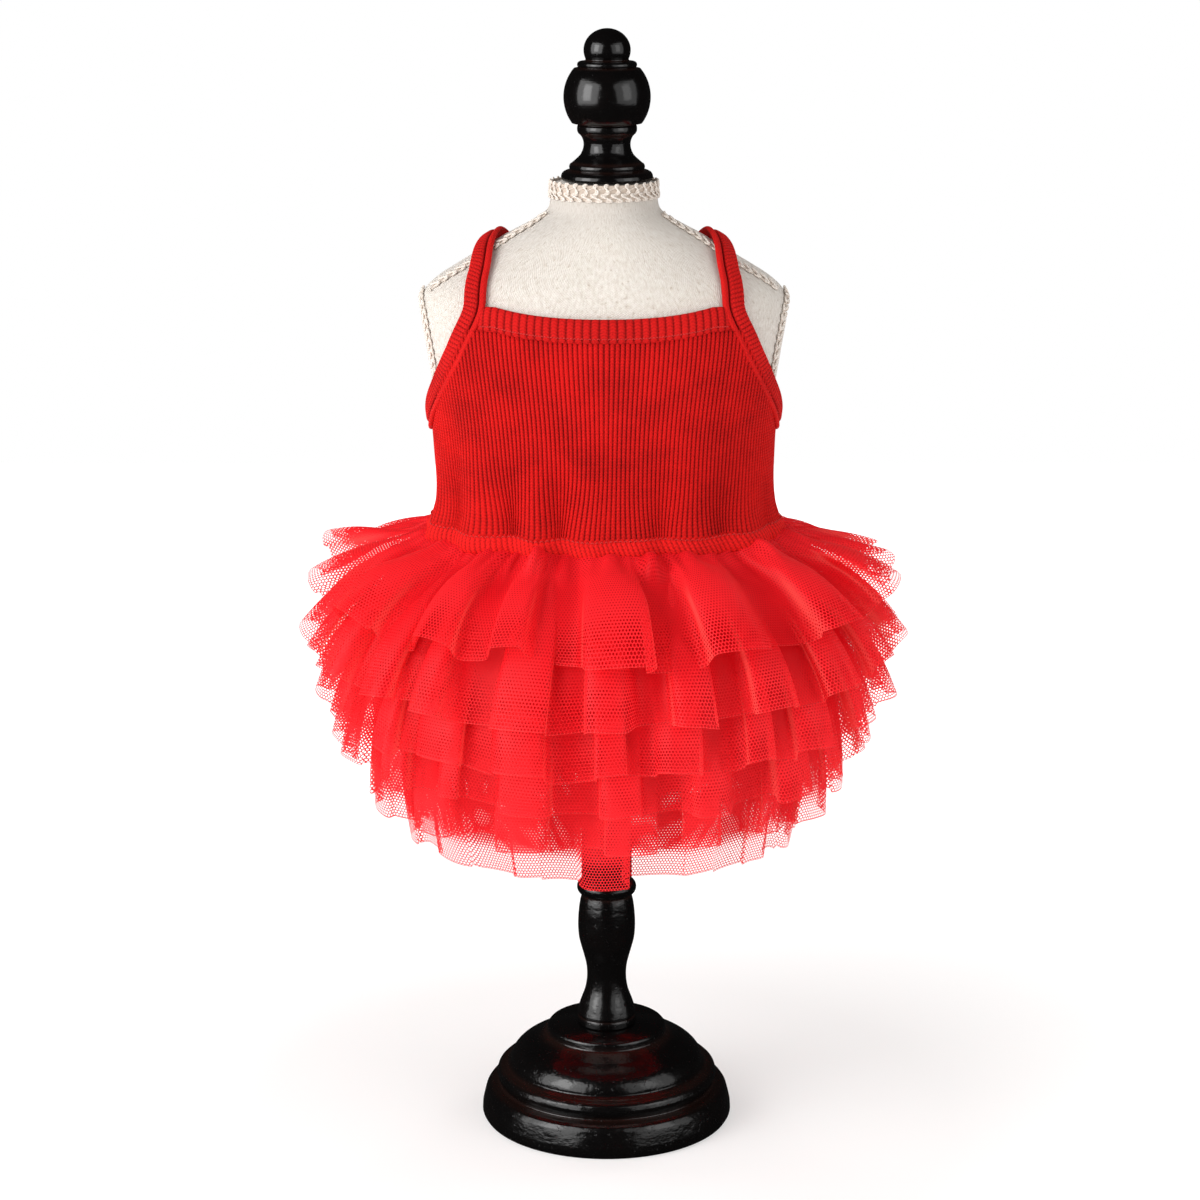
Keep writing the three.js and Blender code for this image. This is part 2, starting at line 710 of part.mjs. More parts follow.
const form = new THREE.Group();
form.name = "dress_form";
const shoulderBraid = braid(SHOULDER_BRAID_ROUTE, 6, false);
const armBraid = braid(ARM_BRAID_ROUTE, 22, true);
form.add(
  piece("form_body", formBody(), materials.linen),
  piece("neck_braid", neckBraid(), materials.braid),
  piece("shoulder_braid_right", shoulderBraid, materials.braid),
  mirrored("shoulder_braid_left", shoulderBraid, materials.braid),
  piece("arm_braid_right", armBraid, materials.braid),
  mirrored("arm_braid_left", armBraid, materials.braid),
);

const dress = new THREE.Group();
dress.name = "tutu_dress";
const armBinding = band(armholeFrames, BINDING_WIDTH / 2, BINDING_THICK, true);
dress.add(
  piece("bodice_front", bodicePanel(FRONT), materials.knit),
  piece("bodice_back", bodicePanel(BACK), materials.knit),
  piece("neck_binding_front", neckBinding(FRONT), materials.binding),
  piece("neck_binding_back", neckBinding(BACK), materials.binding),
  piece("armhole_strap_right", armBinding, materials.binding),
  mirrored("armhole_strap_left", armBinding, materials.binding),
  piece("waist_hem", waistHem(), materials.knit),
);
FRILLS.forEach((frill, index) => {
  dress.add(piece(`frill_${index + 1}`, frillWall(frill, index), materials.net));
});

const worn = new THREE.Group();
worn.name = "form_and_dress";
worn.position.x = BODY_OFFSET;
worn.add(form, dress);

const whole = new THREE.Group();
whole.name = "dog_tutu_dress_on_form";
whole.add(stand, worn);

export default whole;
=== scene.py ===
# %% [markdown]
# # A dog's tutu dress on a limbless dress form
#
# The dress is a rib knit bodice with folded straps, over six gathered frills of soft hexagonal net.
# It is shown on a small covered dress form with a turned, lacquered stand. Each piece below is
# a surface worked out with numpy: a formula over two parameters gives its points, and the points
# go into a mesh in one step. Lengths are in millimetres until a mesh is made, which is in metres.

import bpy
import numpy as np
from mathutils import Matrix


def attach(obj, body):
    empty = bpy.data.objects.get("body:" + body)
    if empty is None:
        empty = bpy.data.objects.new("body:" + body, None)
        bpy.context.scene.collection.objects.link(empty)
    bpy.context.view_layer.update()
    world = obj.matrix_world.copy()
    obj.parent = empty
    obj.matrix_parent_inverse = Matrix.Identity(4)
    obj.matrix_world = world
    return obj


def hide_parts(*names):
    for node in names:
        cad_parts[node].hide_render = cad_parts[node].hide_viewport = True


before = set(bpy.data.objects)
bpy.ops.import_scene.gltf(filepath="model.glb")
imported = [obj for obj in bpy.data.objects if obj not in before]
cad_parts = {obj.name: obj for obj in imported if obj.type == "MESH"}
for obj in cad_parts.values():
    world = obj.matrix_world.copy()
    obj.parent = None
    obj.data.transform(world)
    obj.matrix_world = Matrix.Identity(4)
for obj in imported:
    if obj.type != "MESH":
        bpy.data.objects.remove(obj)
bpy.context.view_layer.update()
scene = bpy.context.scene
MM = 0.001
print("nodes in the packed model:", len(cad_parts))

# %% [markdown]
# ## Camera
#
# A long lens a little over a metre away keeps the form's upright lines straight, and it looks
# slightly down, so the tops of the frills and of the foot show.

# %% Camera
camera = bpy.data.objects.new("camera", bpy.data.cameras.new("camera"))
scene.collection.objects.link(camera)
LENS_MM, SENSOR_MM = 91, 36
CAMERA_PLACE = (-0.0030, -1.30, 0.565)  # metres
LOOKS_DOWN = 13.98  # degrees
camera.data.lens = LENS_MM
camera.data.sensor_width = SENSOR_MM
camera.location = CAMERA_PLACE
camera.rotation_euler = (np.radians(90 - LOOKS_DOWN), 0, 0)
scene.camera = camera
print("camera lens in mm:", camera.data.lens)

# %% [markdown]
# ## Grids of points become meshes
#
# Most of Blender's own shapes could be pushed into place by hand, but cloth with a hundred ribs is
# easier as a formula. One helper turns one or more grids of points into a mesh. A grid can be closed
# along its rows, closed round its columns, or both, and an open end can be capped.

# %% Mesh helpers
def smoothstep(x, low, high):
    """0 below low, 1 above high, and 3t² - 2t³ between them, where t runs from 0 to 1."""
    t = np.clip((x - low) / (high - low), 0, 1)
    return t * t * (3 - 2 * t)


def grid(points, along=False, around=False, caps=False, cloth=None, marks=None):
    """One grid of points for build(). points[i, j] is row i, column j. cloth is a pair (u, v) of
    coordinates on the flat cloth, in mm, one step longer than the grid wherever it closes."""
    return dict(points=points, along=along, around=around, caps=caps, cloth=cloth, marks=marks or {})


def build(name, grids, finish, stands_for=(), mean_axis=None):
    """Joins each point of each grid to its neighbours with quads, and makes one object of them all.
    A mesh whose volume, summed over its faces as seen from its middle, is negative is turned round."""
    points, loops, sizes, flat, marks, first = [], [], [], [], {}, 0
    for g in grids:
        p = np.asarray(g["points"], float)
        n, m = p.shape[:2]
        index = np.arange(n * m).reshape(n, m) + first
        if g["along"]:
            index = np.vstack([index, index[:1]])
        if g["around"]:
            index = np.hstack([index, index[:, :1]])
        quads = np.stack([index[:-1, :-1], index[1:, :-1], index[1:, 1:], index[:-1, 1:]], -1)
        loops.append(quads.reshape(-1))
        sizes.append(np.full(quads.shape[0] * quads.shape[1], 4))
        if g["cloth"] is not None:
            u, v = (np.broadcast_to(c, index.shape) for c in g["cloth"])
            uv = np.stack([u, v], -1)
            corners = np.stack([uv[:-1, :-1], uv[1:, :-1], uv[1:, 1:], uv[:-1, 1:]], 2)
            flat.append(corners.reshape(-1, 2))
        else:
            flat.append(np.zeros((quads.size, 2)))
        if g["caps"]:
            for ring in (index[0, :m], index[-1, :m][::-1]):
                loops.append(ring)
                sizes.append([m])
                flat.append(np.zeros((m, 2)))
        for key, value in g["marks"].items():
            marks.setdefault(key, []).append(np.broadcast_to(value, (n, m)).reshape(-1))
        points.append(p.reshape(-1, 3))
        first += n * m
    points, loops, sizes = np.concatenate(points), np.concatenate(loops), np.concatenate(sizes)
    flat = np.concatenate(flat)
    starts = np.concatenate([[0], np.cumsum(sizes)[:-1]])
    quads = loops[starts[sizes == 4][:, None] + np.arange(4)]
    corner = points[quads] - points.mean(0) if mean_axis is None else points[quads] - np.array(mean_axis)
    facing = np.cross(corner[:, 1] - corner[:, 0], corner[:, 2] - corner[:, 0])
    if (facing * corner[:, 0]).sum() < 0:
        backwards = np.repeat(2 * starts + sizes - 1, sizes) - np.arange(len(loops))
        loops, flat = loops[backwards], flat[backwards]
    mesh = bpy.data.meshes.new(name)
    mesh.vertices.add(len(points))
    mesh.vertices.foreach_set("co", (points * MM).astype(np.float32).reshape(-1))
    mesh.loops.add(len(loops))
    mesh.loops.foreach_set("vertex_index", loops.astype(np.int32))
    mesh.polygons.add(len(sizes))
    mesh.polygons.foreach_set("loop_start", starts.astype(np.int32))
    mesh.polygons.foreach_set("loop_total", sizes.astype(np.int32))
    mesh.uv_layers.new(name="cloth").data.foreach_set("uv", flat.astype(np.float32).reshape(-1))
    for key, value in marks.items():
        value = np.concatenate(value).astype(np.float32)
        mesh.attributes.new(key, "FLOAT", "POINT").data.foreach_set("value", value)
    mesh.update(calc_edges=True)
    mesh.shade_smooth()
    mesh.materials.append(finish)
    piece = bpy.data.objects.new(name, mesh)
    scene.collection.objects.link(piece)
    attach(piece, "root")
    if stands_for:
        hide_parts(*stands_for)
    print(f"{name}: {int((sizes - 2).sum())} triangles")
    return piece


# %% [markdown]
# ## Shader maths as Python
#
# A pattern such as a net is a sum of waves. Written with Python's own operators it reads like the
# formula, and the small class below adds one Math node for each operator.

# %% A wire between nodes
class Wire:
    """An output socket. Each Python operator on it adds one Math node."""

    def __init__(self, finish, socket):
        self.finish, self.socket = finish, socket

    def math(self, operation, *values):
        node = self.finish.node("ShaderNodeMath", {"operation": operation}, dict(enumerate(values)))
        return Wire(self.finish, node.outputs[0])

    def __add__(self, other): return self.math("ADD", self, other)
    def __radd__(self, other): return self.math("ADD", other, self)
    def __sub__(self, other): return self.math("SUBTRACT", self, other)
    def __rsub__(self, other): return self.math("SUBTRACT", other, self)
    def __mul__(self, other): return self.math("MULTIPLY", self, other)
    def __rmul__(self, other): return self.math("MULTIPLY", other, self)
    def __truediv__(self, other): return self.math("DIVIDE", self, other)
    def cosine(self): return self.math("COSINE", self)
    def sine(self): return self.math("SINE", self)
    def size(self): return self.math("ABSOLUTE", self)
    def fraction(self): return self.math("FRACT", self)
    def most(self, other): return self.math("MAXIMUM", self, other)
    def held(self): return self.math("MINIMUM", self.math("MAXIMUM", self, 0.0), 1.0)


class Finish:
    """A material and a short way to add its nodes."""

    def __init__(self, name):
        self.material = bpy.data.materials.new(name)
        self.material.use_nodes = True
        self.tree = self.material.node_tree
        self.tree.nodes.clear()

    def node(self, kind, settings=None, inputs=None):
        """Adds a node of this type, gives it its settings, and then its values or links."""
        node = self.tree.nodes.new(kind)
        for key, value in (settings or {}).items():
            setattr(node, key, value)
        for key, value in (inputs or {}).items():
            if isinstance(value, Wire):
                self.tree.links.new(value.socket, node.inputs[key])
            else:
                node.inputs[key].default_value = value
        return node

    def wire(self, kind, settings=None, inputs=None, output=0):
        return Wire(self, self.node(kind, settings, inputs).outputs[output])

    def cloth(self):
        """The two coordinates of the piece on its flat cloth, in mm, and both of them as a vector."""
        place = self.wire("ShaderNodeUVMap", {"uv_map": "cloth"})
        apart = self.node("ShaderNodeSeparateXYZ", {}, {0: place})
        return Wire(self, apart.outputs[0]), Wire(self, apart.outputs[1]), place

    def mark(self, name):
        """A number that build() stored at each point."""
        return self.wire("ShaderNodeAttribute", {"attribute_name": name}, output="Fac")

    def noise(self, place, scale, detail=2.0, rough=0.5, stretch=(1, 1, 1)):
        at = self.wire("ShaderNodeMapping", {}, {"Vector": place, "Scale": stretch})
        return self.wire("ShaderNodeTexNoise", {}, {"Vector": at, "Scale": scale, "Detail": detail,
                                                    "Roughness": rough})

    def blend(self, share, low, high):
        """A colour between two, by a share from 0 to 1."""
        low, high = (c if isinstance(c, Wire) else (*c, 1) for c in (low, high))
        return self.wire("ShaderNodeMix", {"data_type": "RGBA"}, {0: share, 6: low, 7: high}, output=2)

    def bump(self, height, distance, strength):
        return self.wire("ShaderNodeBump", {}, {"Height": height, "Distance": distance, "Strength": strength})

    def surface(self, **values):
        """The main shader, by its sockets' names with _ for a space."""
        named = {key.replace("_", " "): value for key, value in values.items()}
        for key, value in named.items():
            if isinstance(value, tuple) and len(value) == 3:
                named[key] = (*value, 1)
        return self.wire("ShaderNodeBsdfPrincipled", {}, named)

    def done(self, shader):
        self.node("ShaderNodeOutputMaterial", {}, {0: shader})
        print("finish:", self.material.name, "with", len(self.tree.nodes), "nodes")
        return self.material


# %% [markdown]
# ## Red rib knit
#
# Rib knit is columns of small interlocking stitches. The ribs themselves are modelled, because they
# catch the light. The stitches are only about a millimetre, so they are a bump: each rib has two
# slanting legs that meet in a V. The dye is a little uneven, and the grooves between ribs and the
# dips between stitches are painted darker, as painted shade.

# %% Knit finish
STITCH = 1.3  # mm of rib for one stitch


def knit_finish(name, light, dark, patchy=1.0):
    """Stitch height is |sin(π(v/1.3 + slant))|, where v runs along the rib in mm and slant grows
    from the rib's middle to its sides."""
    f = Finish(name)
    u, v, place = f.cloth()
    across = (u.fraction() - 0.5).size()
    stitch = ((v / STITCH + across * 1.3) * np.pi).sine().size()
    leg = (u * 2.0).fraction() - 0.5
    fuzz = f.noise(place, 2.6, 3.0, 0.7, (1.8, 1, 1))
    patch = f.noise(place, 0.05, 3.0, 0.6, (1.8, 1, 1))
    groove = f.mark("groove")
    # painted shade: darker in the grooves between ribs and where the stitches dip; fuzz and patch are uneven
    # dye
    shade = (groove * 0.95 + (1.0 - stitch) * 0.35 + (fuzz - 0.5) * 1.1 + (patch - 0.5) * 1.1 * patchy).held()
    colour = f.blend(shade, light, dark)
    height = stitch * 0.6 + (0.25 - leg * leg) * 0.8 + fuzz * 0.7
    normal = f.bump(height, 0.00022, 0.9)
    shader = f.surface(Base_Color=colour, Roughness=0.78, Normal=normal, Sheen_Weight=0.08, Sheen_Roughness=0.4,
                       Sheen_Tint=(1.0, 0.12, 0.1), Specular_IOR_Level=0.12)
    return f.done(shader)


knit = knit_finish("rib_knit_red", (0.60, 0.006, 0.005), (0.15, 0.0008, 0.0008))
folded_knit = knit_finish("folded_knit_red", (0.60, 0.008, 0.007), (0.19, 0.001, 0.001), 0.7)
hem_knit = knit_finish("hem_knit_red", (0.80, 0.010, 0.009), (0.24, 0.0018, 0.0018), 0.6)


# %% [markdown]
# ## Sewing thread
#
# The same polyester thread in a slightly lighter red, with a soft shine.

# %% Thread finish
def thread_finish():
    """A plain colour, varied by noise that is finer than a stitch."""
    f = Finish("thread_red")
    place = f.wire("ShaderNodeTexCoord", output="Object")
    ply = f.noise(place, 1800, 1.0)
    return f.done(f.surface(Base_Color=f.blend(ply, (0.66, 0.035, 0.03), (0.50, 0.012, 0.01)), Roughness=0.5,
                            Normal=f.bump(ply, 0.0001, 0.5), Specular_IOR_Level=0.4))


thread = thread_finish()


# %% [markdown]
# ## Soft net
#
# Tulle is a mesh of hexagonal holes a little over a millimetre apart, knitted from very thin thread.
# A real hole for each cell would take millions of faces, so the holes are in the material's alpha. Waves
# that cross at 120 degrees add up to hills on a triangular lattice: the hills are the holes, and the
# valleys between them are the threads. How far up the hills the thread reaches sets how much of
# the net is thread, and that is worked out here in Python by counting samples of the same sum.

# %% Net finish
CELL = 1.4  # mm between the middles of neighbouring holes
HEM_COVER = 0.47  # share of the net that is thread at the free edge
ROOT_COVER = 0.95  # the same in the gathers
SELVEDGE = 0.6  # mm of firm edge
THROUGH = 0.2  # share of the light that passes through the thread
WAVE = 4 * np.pi / (np.sqrt(3) * CELL)
SLANT = 0.75**0.5  # the sine of 60 degrees
sample = np.stack(np.meshgrid(np.linspace(0, 12, 600), np.linspace(0, 12, 600)), -1)
waves_at = sum(np.cos(WAVE * (sample @ np.array(way))) for way in ((1, 0), (-0.5, SLANT), (-0.5, -SLANT)))
hem_level, root_level = np.quantile(waves_at, [HEM_COVER, ROOT_COVER])
print("net levels for the cover at hem and root:", round(float(hem_level), 3), round(float(root_level), 3))


def net_finish():
    """Thread lies where cos(k·y) + cos(k·(-y/2 + 0.87x)) + cos(k·(-y/2 - 0.87x)) is below a level
    that rises towards the gathered edge, where the cloth is crowded, and along a fold. The same sum
    darkens the holes of crowded cloth as painted shade, for the shaded layers behind. A fold seen
    edge-on is painted paler, a painted highlight, and the firm edge is paler too. The cloth in a
    trough, at the gathers and under the tier above is painted darker, as painted shade."""
    f = Finish("soft_net_red")
    u, v, place = f.cloth()
    waves = ((v * WAVE).cosine() + (v * (-0.5 * WAVE) + u * (SLANT * WAVE)).cosine()
             + (v * (-0.5 * WAVE) - u * (SLANT * WAVE)).cosine())
    crowd, fold = f.mark("crowd"), f.mark("fold")
    level = (crowd * 0.9 + fold * 0.5).held() * float(root_level - hem_level) + float(hem_level)
    selvedge = (1.0 - f.mark("from_hem") / SELVEDGE).held() * 0.9
    alpha = ((level - waves) / 0.3 + 0.5).held().most(selvedge)
    tone = f.noise(place, 0.03, 2.0)
    hole = ((waves + 0.9) / 2.6).held()
    # painted shade: deep darkens the red in troughs, under the tier above and in the holes of crowded cloth;
    # tone is random
    deep = (f.mark("trough_shade") * 0.75 + hole * 0.8 + (tone - 0.5) * 0.5 - 0.06).held()
    body = f.blend(deep, (1.0, 0.020, 0.028), (0.64, 0.001, 0.006))
    # painted highlight: a fold seen edge-on is blended towards pale pink; the firm edge is paler too
    colour = f.blend((fold * 0.8 + selvedge * 0.3).held(), body, (1.0, 0.095, 0.085))
    front = f.surface(Base_Color=colour, Roughness=0.5, Specular_IOR_Level=0.15, Sheen_Weight=0.3,
                      Sheen_Roughness=0.3, Sheen_Tint=(1.0, 0.14, 0.12))
    back = f.wire("ShaderNodeBsdfTranslucent", {}, {"Color": (0.95, 0.018, 0.026, 1)})
    both = f.wire("ShaderNodeMixShader", {}, {0: THROUGH, 1: front, 2: back})
    clear = f.wire("ShaderNodeBsdfTransparent", {}, {})
    return f.done(f.wire("ShaderNodeMixShader", {}, {0: alpha, 1: clear, 2: both}))


net = net_finish()


# %% [markdown]
# ## Linen, braid and lacquer
#
# The form is covered in a slubby off-white cloth, edged with cotton gimp braid. Its stand is turned
# wood under black lacquer, which shows as a soft ripple in the reflections and a warm brown where
# the brush left the coat thin in the grooves.

# %% Linen finish
def linen_finish():
    """Warp and weft are two sine waves about 0.9 mm long, bent by noise, with longer slubs between them."""
    f = Finish("linen_off_white")
    u, v, place = f.cloth()
    bend = f.noise(place, 0.5, 2.0) * 3.0
    weave = ((u * (2 * np.pi / 1.05) + bend).sine() * (v * (2 * np.pi / 1.0) + bend).sine()) * 0.5 + 0.5
    slub = f.noise(place, 0.85, 2.0, 0.6, (1.25, 0.5, 1))
    fleck = f.noise(place, 0.55, 2.0, 0.6)
    patch = f.noise(place, 0.03, 2.0)
    speck = ((fleck - 0.60) * 8.0).held()
    shade = ((1.0 - weave) * 0.36 + (slub - 0.46) * 1.5 + (patch - 0.5) * 0.2 + speck * 0.6).held()
    colour = f.blend(shade, (0.785, 0.738, 0.683), (0.50, 0.415, 0.335))
    normal = f.bump(weave * 0.9 + slub * 1.2, 0.00030, 0.9)
    return f.done(f.surface(Base_Color=colour, Roughness=0.85, Normal=normal, Sheen_Weight=0.15,
                            Sheen_Roughness=0.5, Specular_IOR_Level=0.2))


def braid_finish():
    """Plied yarn: stripes that run round the cord on a slant, and painted shade that darkens it deep in the
    braid.
    """
    f = Finish("cotton_braid")
    u, v, _ = f.cloth()
    ply = (u * 4.4 + v * 2.6).sine() * 0.5 + 0.5
    # painted shade: deep darkens the yarn towards brown where it lies low in the braid
    shade = (f.mark("deep") * 0.9 + (1.0 - ply) * 0.22).held()
    colour = f.blend(shade, (0.80, 0.735, 0.67), (0.36, 0.25, 0.17))
    return f.done(f.surface(Base_Color=colour, Roughness=0.7, Normal=f.bump(ply, 0.00015, 0.9),
                            Specular_IOR_Level=0.3))


def lacquer_finish(name, ripples, gloss):
    """Nearly black, with ripples and pits in the coat, browner where it is thin."""
    f = Finish(name)
    place = f.wire("ShaderNodeTexCoord", output="Object")
    ripple = f.noise(place, 110, 3.0, 0.6, (1, 1, 1.8))
    pits = f.noise(place, 520, 3.0, 0.6)
    brush = f.noise(place, 420, 2.0, 0.5, (1, 1, 0.25))
    pit = ((pits - 0.63) * 9.0).held()
    thin = (f.mark("groove") * 0.55 + (f.noise(place, 40, 3.0) - 0.5) * 0.3).held()
    colour = f.blend(thin, (0.0022, 0.0019, 0.0019), (0.018, 0.007, 0.005))
    normal = f.bump(ripple * 1.3 - pit * 0.35 + brush * 0.2, 0.0010, ripples)
    return f.done(f.surface(Base_Color=colour, Roughness=(pit * 0.2 + (ripple - 0.5) * 0.15 + gloss).held(),
                            Normal=normal, Specular_IOR_Level=0.5))


linen = linen_finish()
braid_yarn = braid_finish()
brushed_lacquer = lacquer_finish("brushed_black_lacquer", 0.28, 0.19)
gloss_lacquer = lacquer_finish("gloss_black_lacquer", 0.07, 0.15)


# %% [markdown]
# ## The turned stand
#
# A lathe piece is one outline carried round an axis. The outlines are straight runs, arcs and one
# long spline for the baluster. A turner eases every edge with sandpaper, so each sharp corner of
# the outline is cut back and rounded before it is carried round.

# %% Turning helpers
def arc(centre, height, radius, rise, start, end, steps=14):
    """Points on an ellipse about (centre, height), from one angle to another, in degrees."""
    angle = np.radians(np.linspace(start, end, steps + 1))
    return np.stack([centre + radius * np.cos(angle), height + rise * np.sin(angle)], -1)


def eased(outline, ease, steps=4):
    """Cuts each corner back by ease, or by 40% of a shorter side, and bridges it with a quadratic
    curve: (1-t)² a + 2t(1-t) corner + t² b."""
    before, corner, after = outline[:-2], outline[1:-1], outline[2:]
    back = lambda p: p - corner
    reach = lambda d: np.minimum(ease, 0.4 * np.linalg.norm(d, axis=1)) / np.linalg.norm(d, axis=1)
    a = corner + back(before) * reach(back(before))[:, None]
    b = corner + back(after) * reach(back(after))[:, None]
    t = np.linspace(0, 1, steps)[None, :, None]
    bends = (1 - t) ** 2 * a[:, None] + 2 * t * (1 - t) * corner[:, None] + t**2 * b[:, None]
    return np.vstack([outline[:1], bends.reshape(-1, 2), outline[-1:]])


def turned(name, outline, node, finish, sides, ease, thin):
    """Carries an outline of (radius, height) round the z axis: x = r sin a, y = -r cos a.
    thin lists (height, reach) of grooves where the coat is thin."""
    outline = eased(np.asarray(outline, float), ease)
    outline = np.vstack([[0.01, outline[0, 1]], outline, [0.01, outline[-1, 1]]])
    a = np.arange(sides) / sides * 2 * np.pi
    r, z = outline[:, :1], outline[:, 1:]
    points = np.stack([r * np.sin(a), -r * np.cos(a), z + 0 * a], -1)
    groove = sum(np.exp(-(((z - height) / reach) ** 2)) for height, reach in thin)
    section = grid(points, around=True, caps=True, marks={"groove": np.clip(groove, 0, 1)})
    build(name, [section], finish, [node])


def hermite(t, start, end, leaving, arriving):
    """A cubic from start to end, for t from 0 to 1, that leaves and arrives with these slopes."""
    return ((2 * t**3 - 3 * t**2 + 1) * start + (3 * t**2 - 2 * t**3) * end
            + (t**3 - 2 * t**2 + t) * leaving + (t**3 - t**2) * arriving)


def spline(points, count, closed=False):
    """A smooth curve through points, even in the square root of their distance: between two points
    a cubic, whose slopes there come from the points on both sides. Returns count points."""
    p = np.asarray(points, float)
    before, after = (p[-1:], p[:2]) if closed else (2 * p[:1] - p[1:2], 2 * p[-1:] - p[-2:-1])
    p = np.vstack([before, p, after])
    gap = np.sqrt(np.linalg.norm(np.diff(p, axis=0), axis=1))[:, None]
    slope = ((p[1:-1] - p[:-2]) / gap[:-1] - (p[2:] - p[:-2]) / (gap[:-1] + gap[1:])
             + (p[2:] - p[1:-1]) / gap[1:])
    start, end, gap = p[1:-2], p[2:-1], gap[1:-1]
    place = np.linspace(0, len(start), count, endpoint=not closed)
    i = np.minimum(place.astype(int), len(start) - 1)
    t = (place - i)[:, None]
    return hermite(t, start[i], end[i], slope[i] * gap[i], slope[i + 1] * gap[i])


# %% Foot, post and finial
turned("turned_foot", np.vstack([
    [[55.9, 0], [56.9, 1.6], [56.7, 5], [55.8, 9], [55.0, 12], [53.8, 13.8], [52, 14.6], [49.6, 15],
     [48.8, 15.7], [49.7, 17.6], [50.1, 19.6], [49.5, 21.7], [48.2, 22.9], [46, 23.4]],
    arc(22.7, 24.3, 21.4, 12.8, 2, 61),
    [[30.4, 36.9], [28.3, 38.1], [27.1, 39], [26.8, 41.8], [25.9, 42.8]]]),
    "base", brushed_lacquer, 144, 0.5, thin=[(15.2, 1.0), (23.4, 0.9), (38.4, 1.2)])
baluster = spline([[13.1, 49], [12.1, 52.6], [11.2, 55.1], [9.8, 59], [8.95, 64], [8.9, 68], [9.3, 71.6],
                   [10.5, 76.4], [11.6, 80.3], [12.5, 84.1], [12.9, 88.5], [12.9, 92.5], [12.5, 98],
                   [11.9, 102], [11.4, 104]], 60)
turned("turned_post", np.vstack([
    [[12.7, 43.1], [13.2, 43.6], [13.3, 45.4], [13.1, 46.4], [12.7, 46.9], [13.2, 47.4], [13.3, 48.2]],
    baluster,
    arc(10.4, 108.2, 3.0, 3.3, -75, 75), [[11.3, 112.2], [11.3, 187.7]]]),
    "post", brushed_lacquer, 80, 0.3, thin=[(46.9, 0.5), (104.6, 0.8), (111.8, 0.8)])
turned("turned_finial", np.vstack([
    [[18.6, 425.8], [19.4, 426.4], [19.7, 427.5], [19.5, 428.7], [18.8, 429.7], [17.6, 430.3], [15.8, 430.6],
     [16.1, 431.2], [16.2, 432.1], [15.9, 433], [15, 433.6], [13.85, 434.6], [12.4, 435.9], [11.3, 437.1],
     [10.65, 438.4], [10.2, 439.7], [10, 441], [10.05, 442.3], [10.35, 443.5], [10.9, 444.7], [11.6, 445.5],
     [12.2, 446.0], [12.7, 446.9], [12.8, 448], [12.7, 449.1], [12.2, 449.9], [12.5, 450.3]],
    arc(0, 461.3, 18.55, 18.6, -36.5, 40.5, 24), [[12.9, 473.6], [12.1, 473.7], [12.6, 474.1], [12.75, 474.9],
    [12.5, 475.7], [11.8, 476.2], [9.6, 476.5], [9.1, 476.9]], arc(0, 480.9, 10.0, 9.1, -22, 88, 20)]),
    "finial", gloss_lacquer, 96, 0.25,
    thin=[(430.6, 0.5), (433.6, 0.6), (445.6, 0.6), (450.1, 0.4), (473.6, 0.4), (476.7, 0.4)])

# %% [markdown]
# ## The padded body
#
# Everything soft in the upper half follows one form, so it is one function: at any height the body
# is a superellipse, an oval whose corners are a little squarer the higher its number, with its
# half width and half depth read from a short table. turn is the angle round it, with 0 at the
# front, 90 at one side and 180 at the back. A point is then named by (turn, height), plus how far it
# stands off the body along its normal.

# %% Body surface
AXIS_X = -1.3  # the form stands this far to one side of its post
BODY_SECTIONS = [  # height, half width, half depth, squareness
    (188, 46, 33, 2.1), (214, 65, 45, 2.15), (240, 67, 45.6, 2.15), (268, 66.4, 44.8, 2.15),
    (296, 70.2, 48.6, 2.2), (325, 72.2, 50, 2.25), (356, 76.8, 46.8, 2.35), (367, 78.6, 43.6, 2.35),
    (375, 78.8, 40.6, 2.3), (380, 76.8, 38.4, 2.3), (385, 71.5, 36, 2.3), (390, 63.8, 33.4, 2.25),
    (395.5, 54.6, 30.8, 2.2), (403, 42.2, 27.4, 2.15), (409, 31, 24.2, 2.1), (413.5, 24.6, 22.2, 2),
    (418, 23, 21.4, 2), (425.5, 22.4, 21, 2)]


def table(rows):
    """A smooth curve through a table's rows: between two heights a cubic, whose slope at each is
    that from the row before to the row after."""
    rows = np.array(rows, float)
    at, values = rows[:, 0], rows[:, 1:]
    before, after = np.maximum(np.arange(len(at)) - 1, 0), np.minimum(np.arange(len(at)) + 1, len(at) - 1)
    slope = (values[after] - values[before]) / (at[after] - at[before])[:, None]

    def read(height):
        height = np.clip(height, at[0], at[-1])
        i = np.clip(np.searchsorted(at, height, side="right") - 1, 0, len(at) - 2)
        span = (at[i + 1] - at[i])[..., None]
        t = (height - at[i])[..., None] / span
        return np.moveaxis(hermite(t, values[i], values[i + 1], span * slope[i], span * slope[i + 1]), -1, 0)

    return read


body_section = table(BODY_SECTIONS)


def on_body(turn, height):
    """x = half width · |sin|^(2/n), y = -half depth · |cos|^(2/n), each with its own sign."""
    turn, height = np.broadcast_arrays(np.radians(turn), np.asarray(height, float))
    width, depth, square = body_section(height)
    power = lambda value: np.sign(value) * np.abs(value) ** (2 / square)
    return np.stack([AXIS_X + width * power(np.sin(turn)), -depth * power(np.cos(turn)), height], -1)


def unit(vector):
    return vector / np.maximum(np.linalg.norm(vector, axis=-1, keepdims=True), 1e-9)


def body_normal(turn, height):
    """The cross product of the steps round and up the body."""
    round_step = on_body(turn + 0.5, height) - on_body(turn - 0.5, height)
    up_step = on_body(turn, height + 0.5) - on_body(turn, height - 0.5)
    return unit(np.cross(round_step, up_step))


def off_body(turn, height, out):
    return on_body(turn, height) + body_normal(turn, height) * np.asarray(out, float)[..., None]


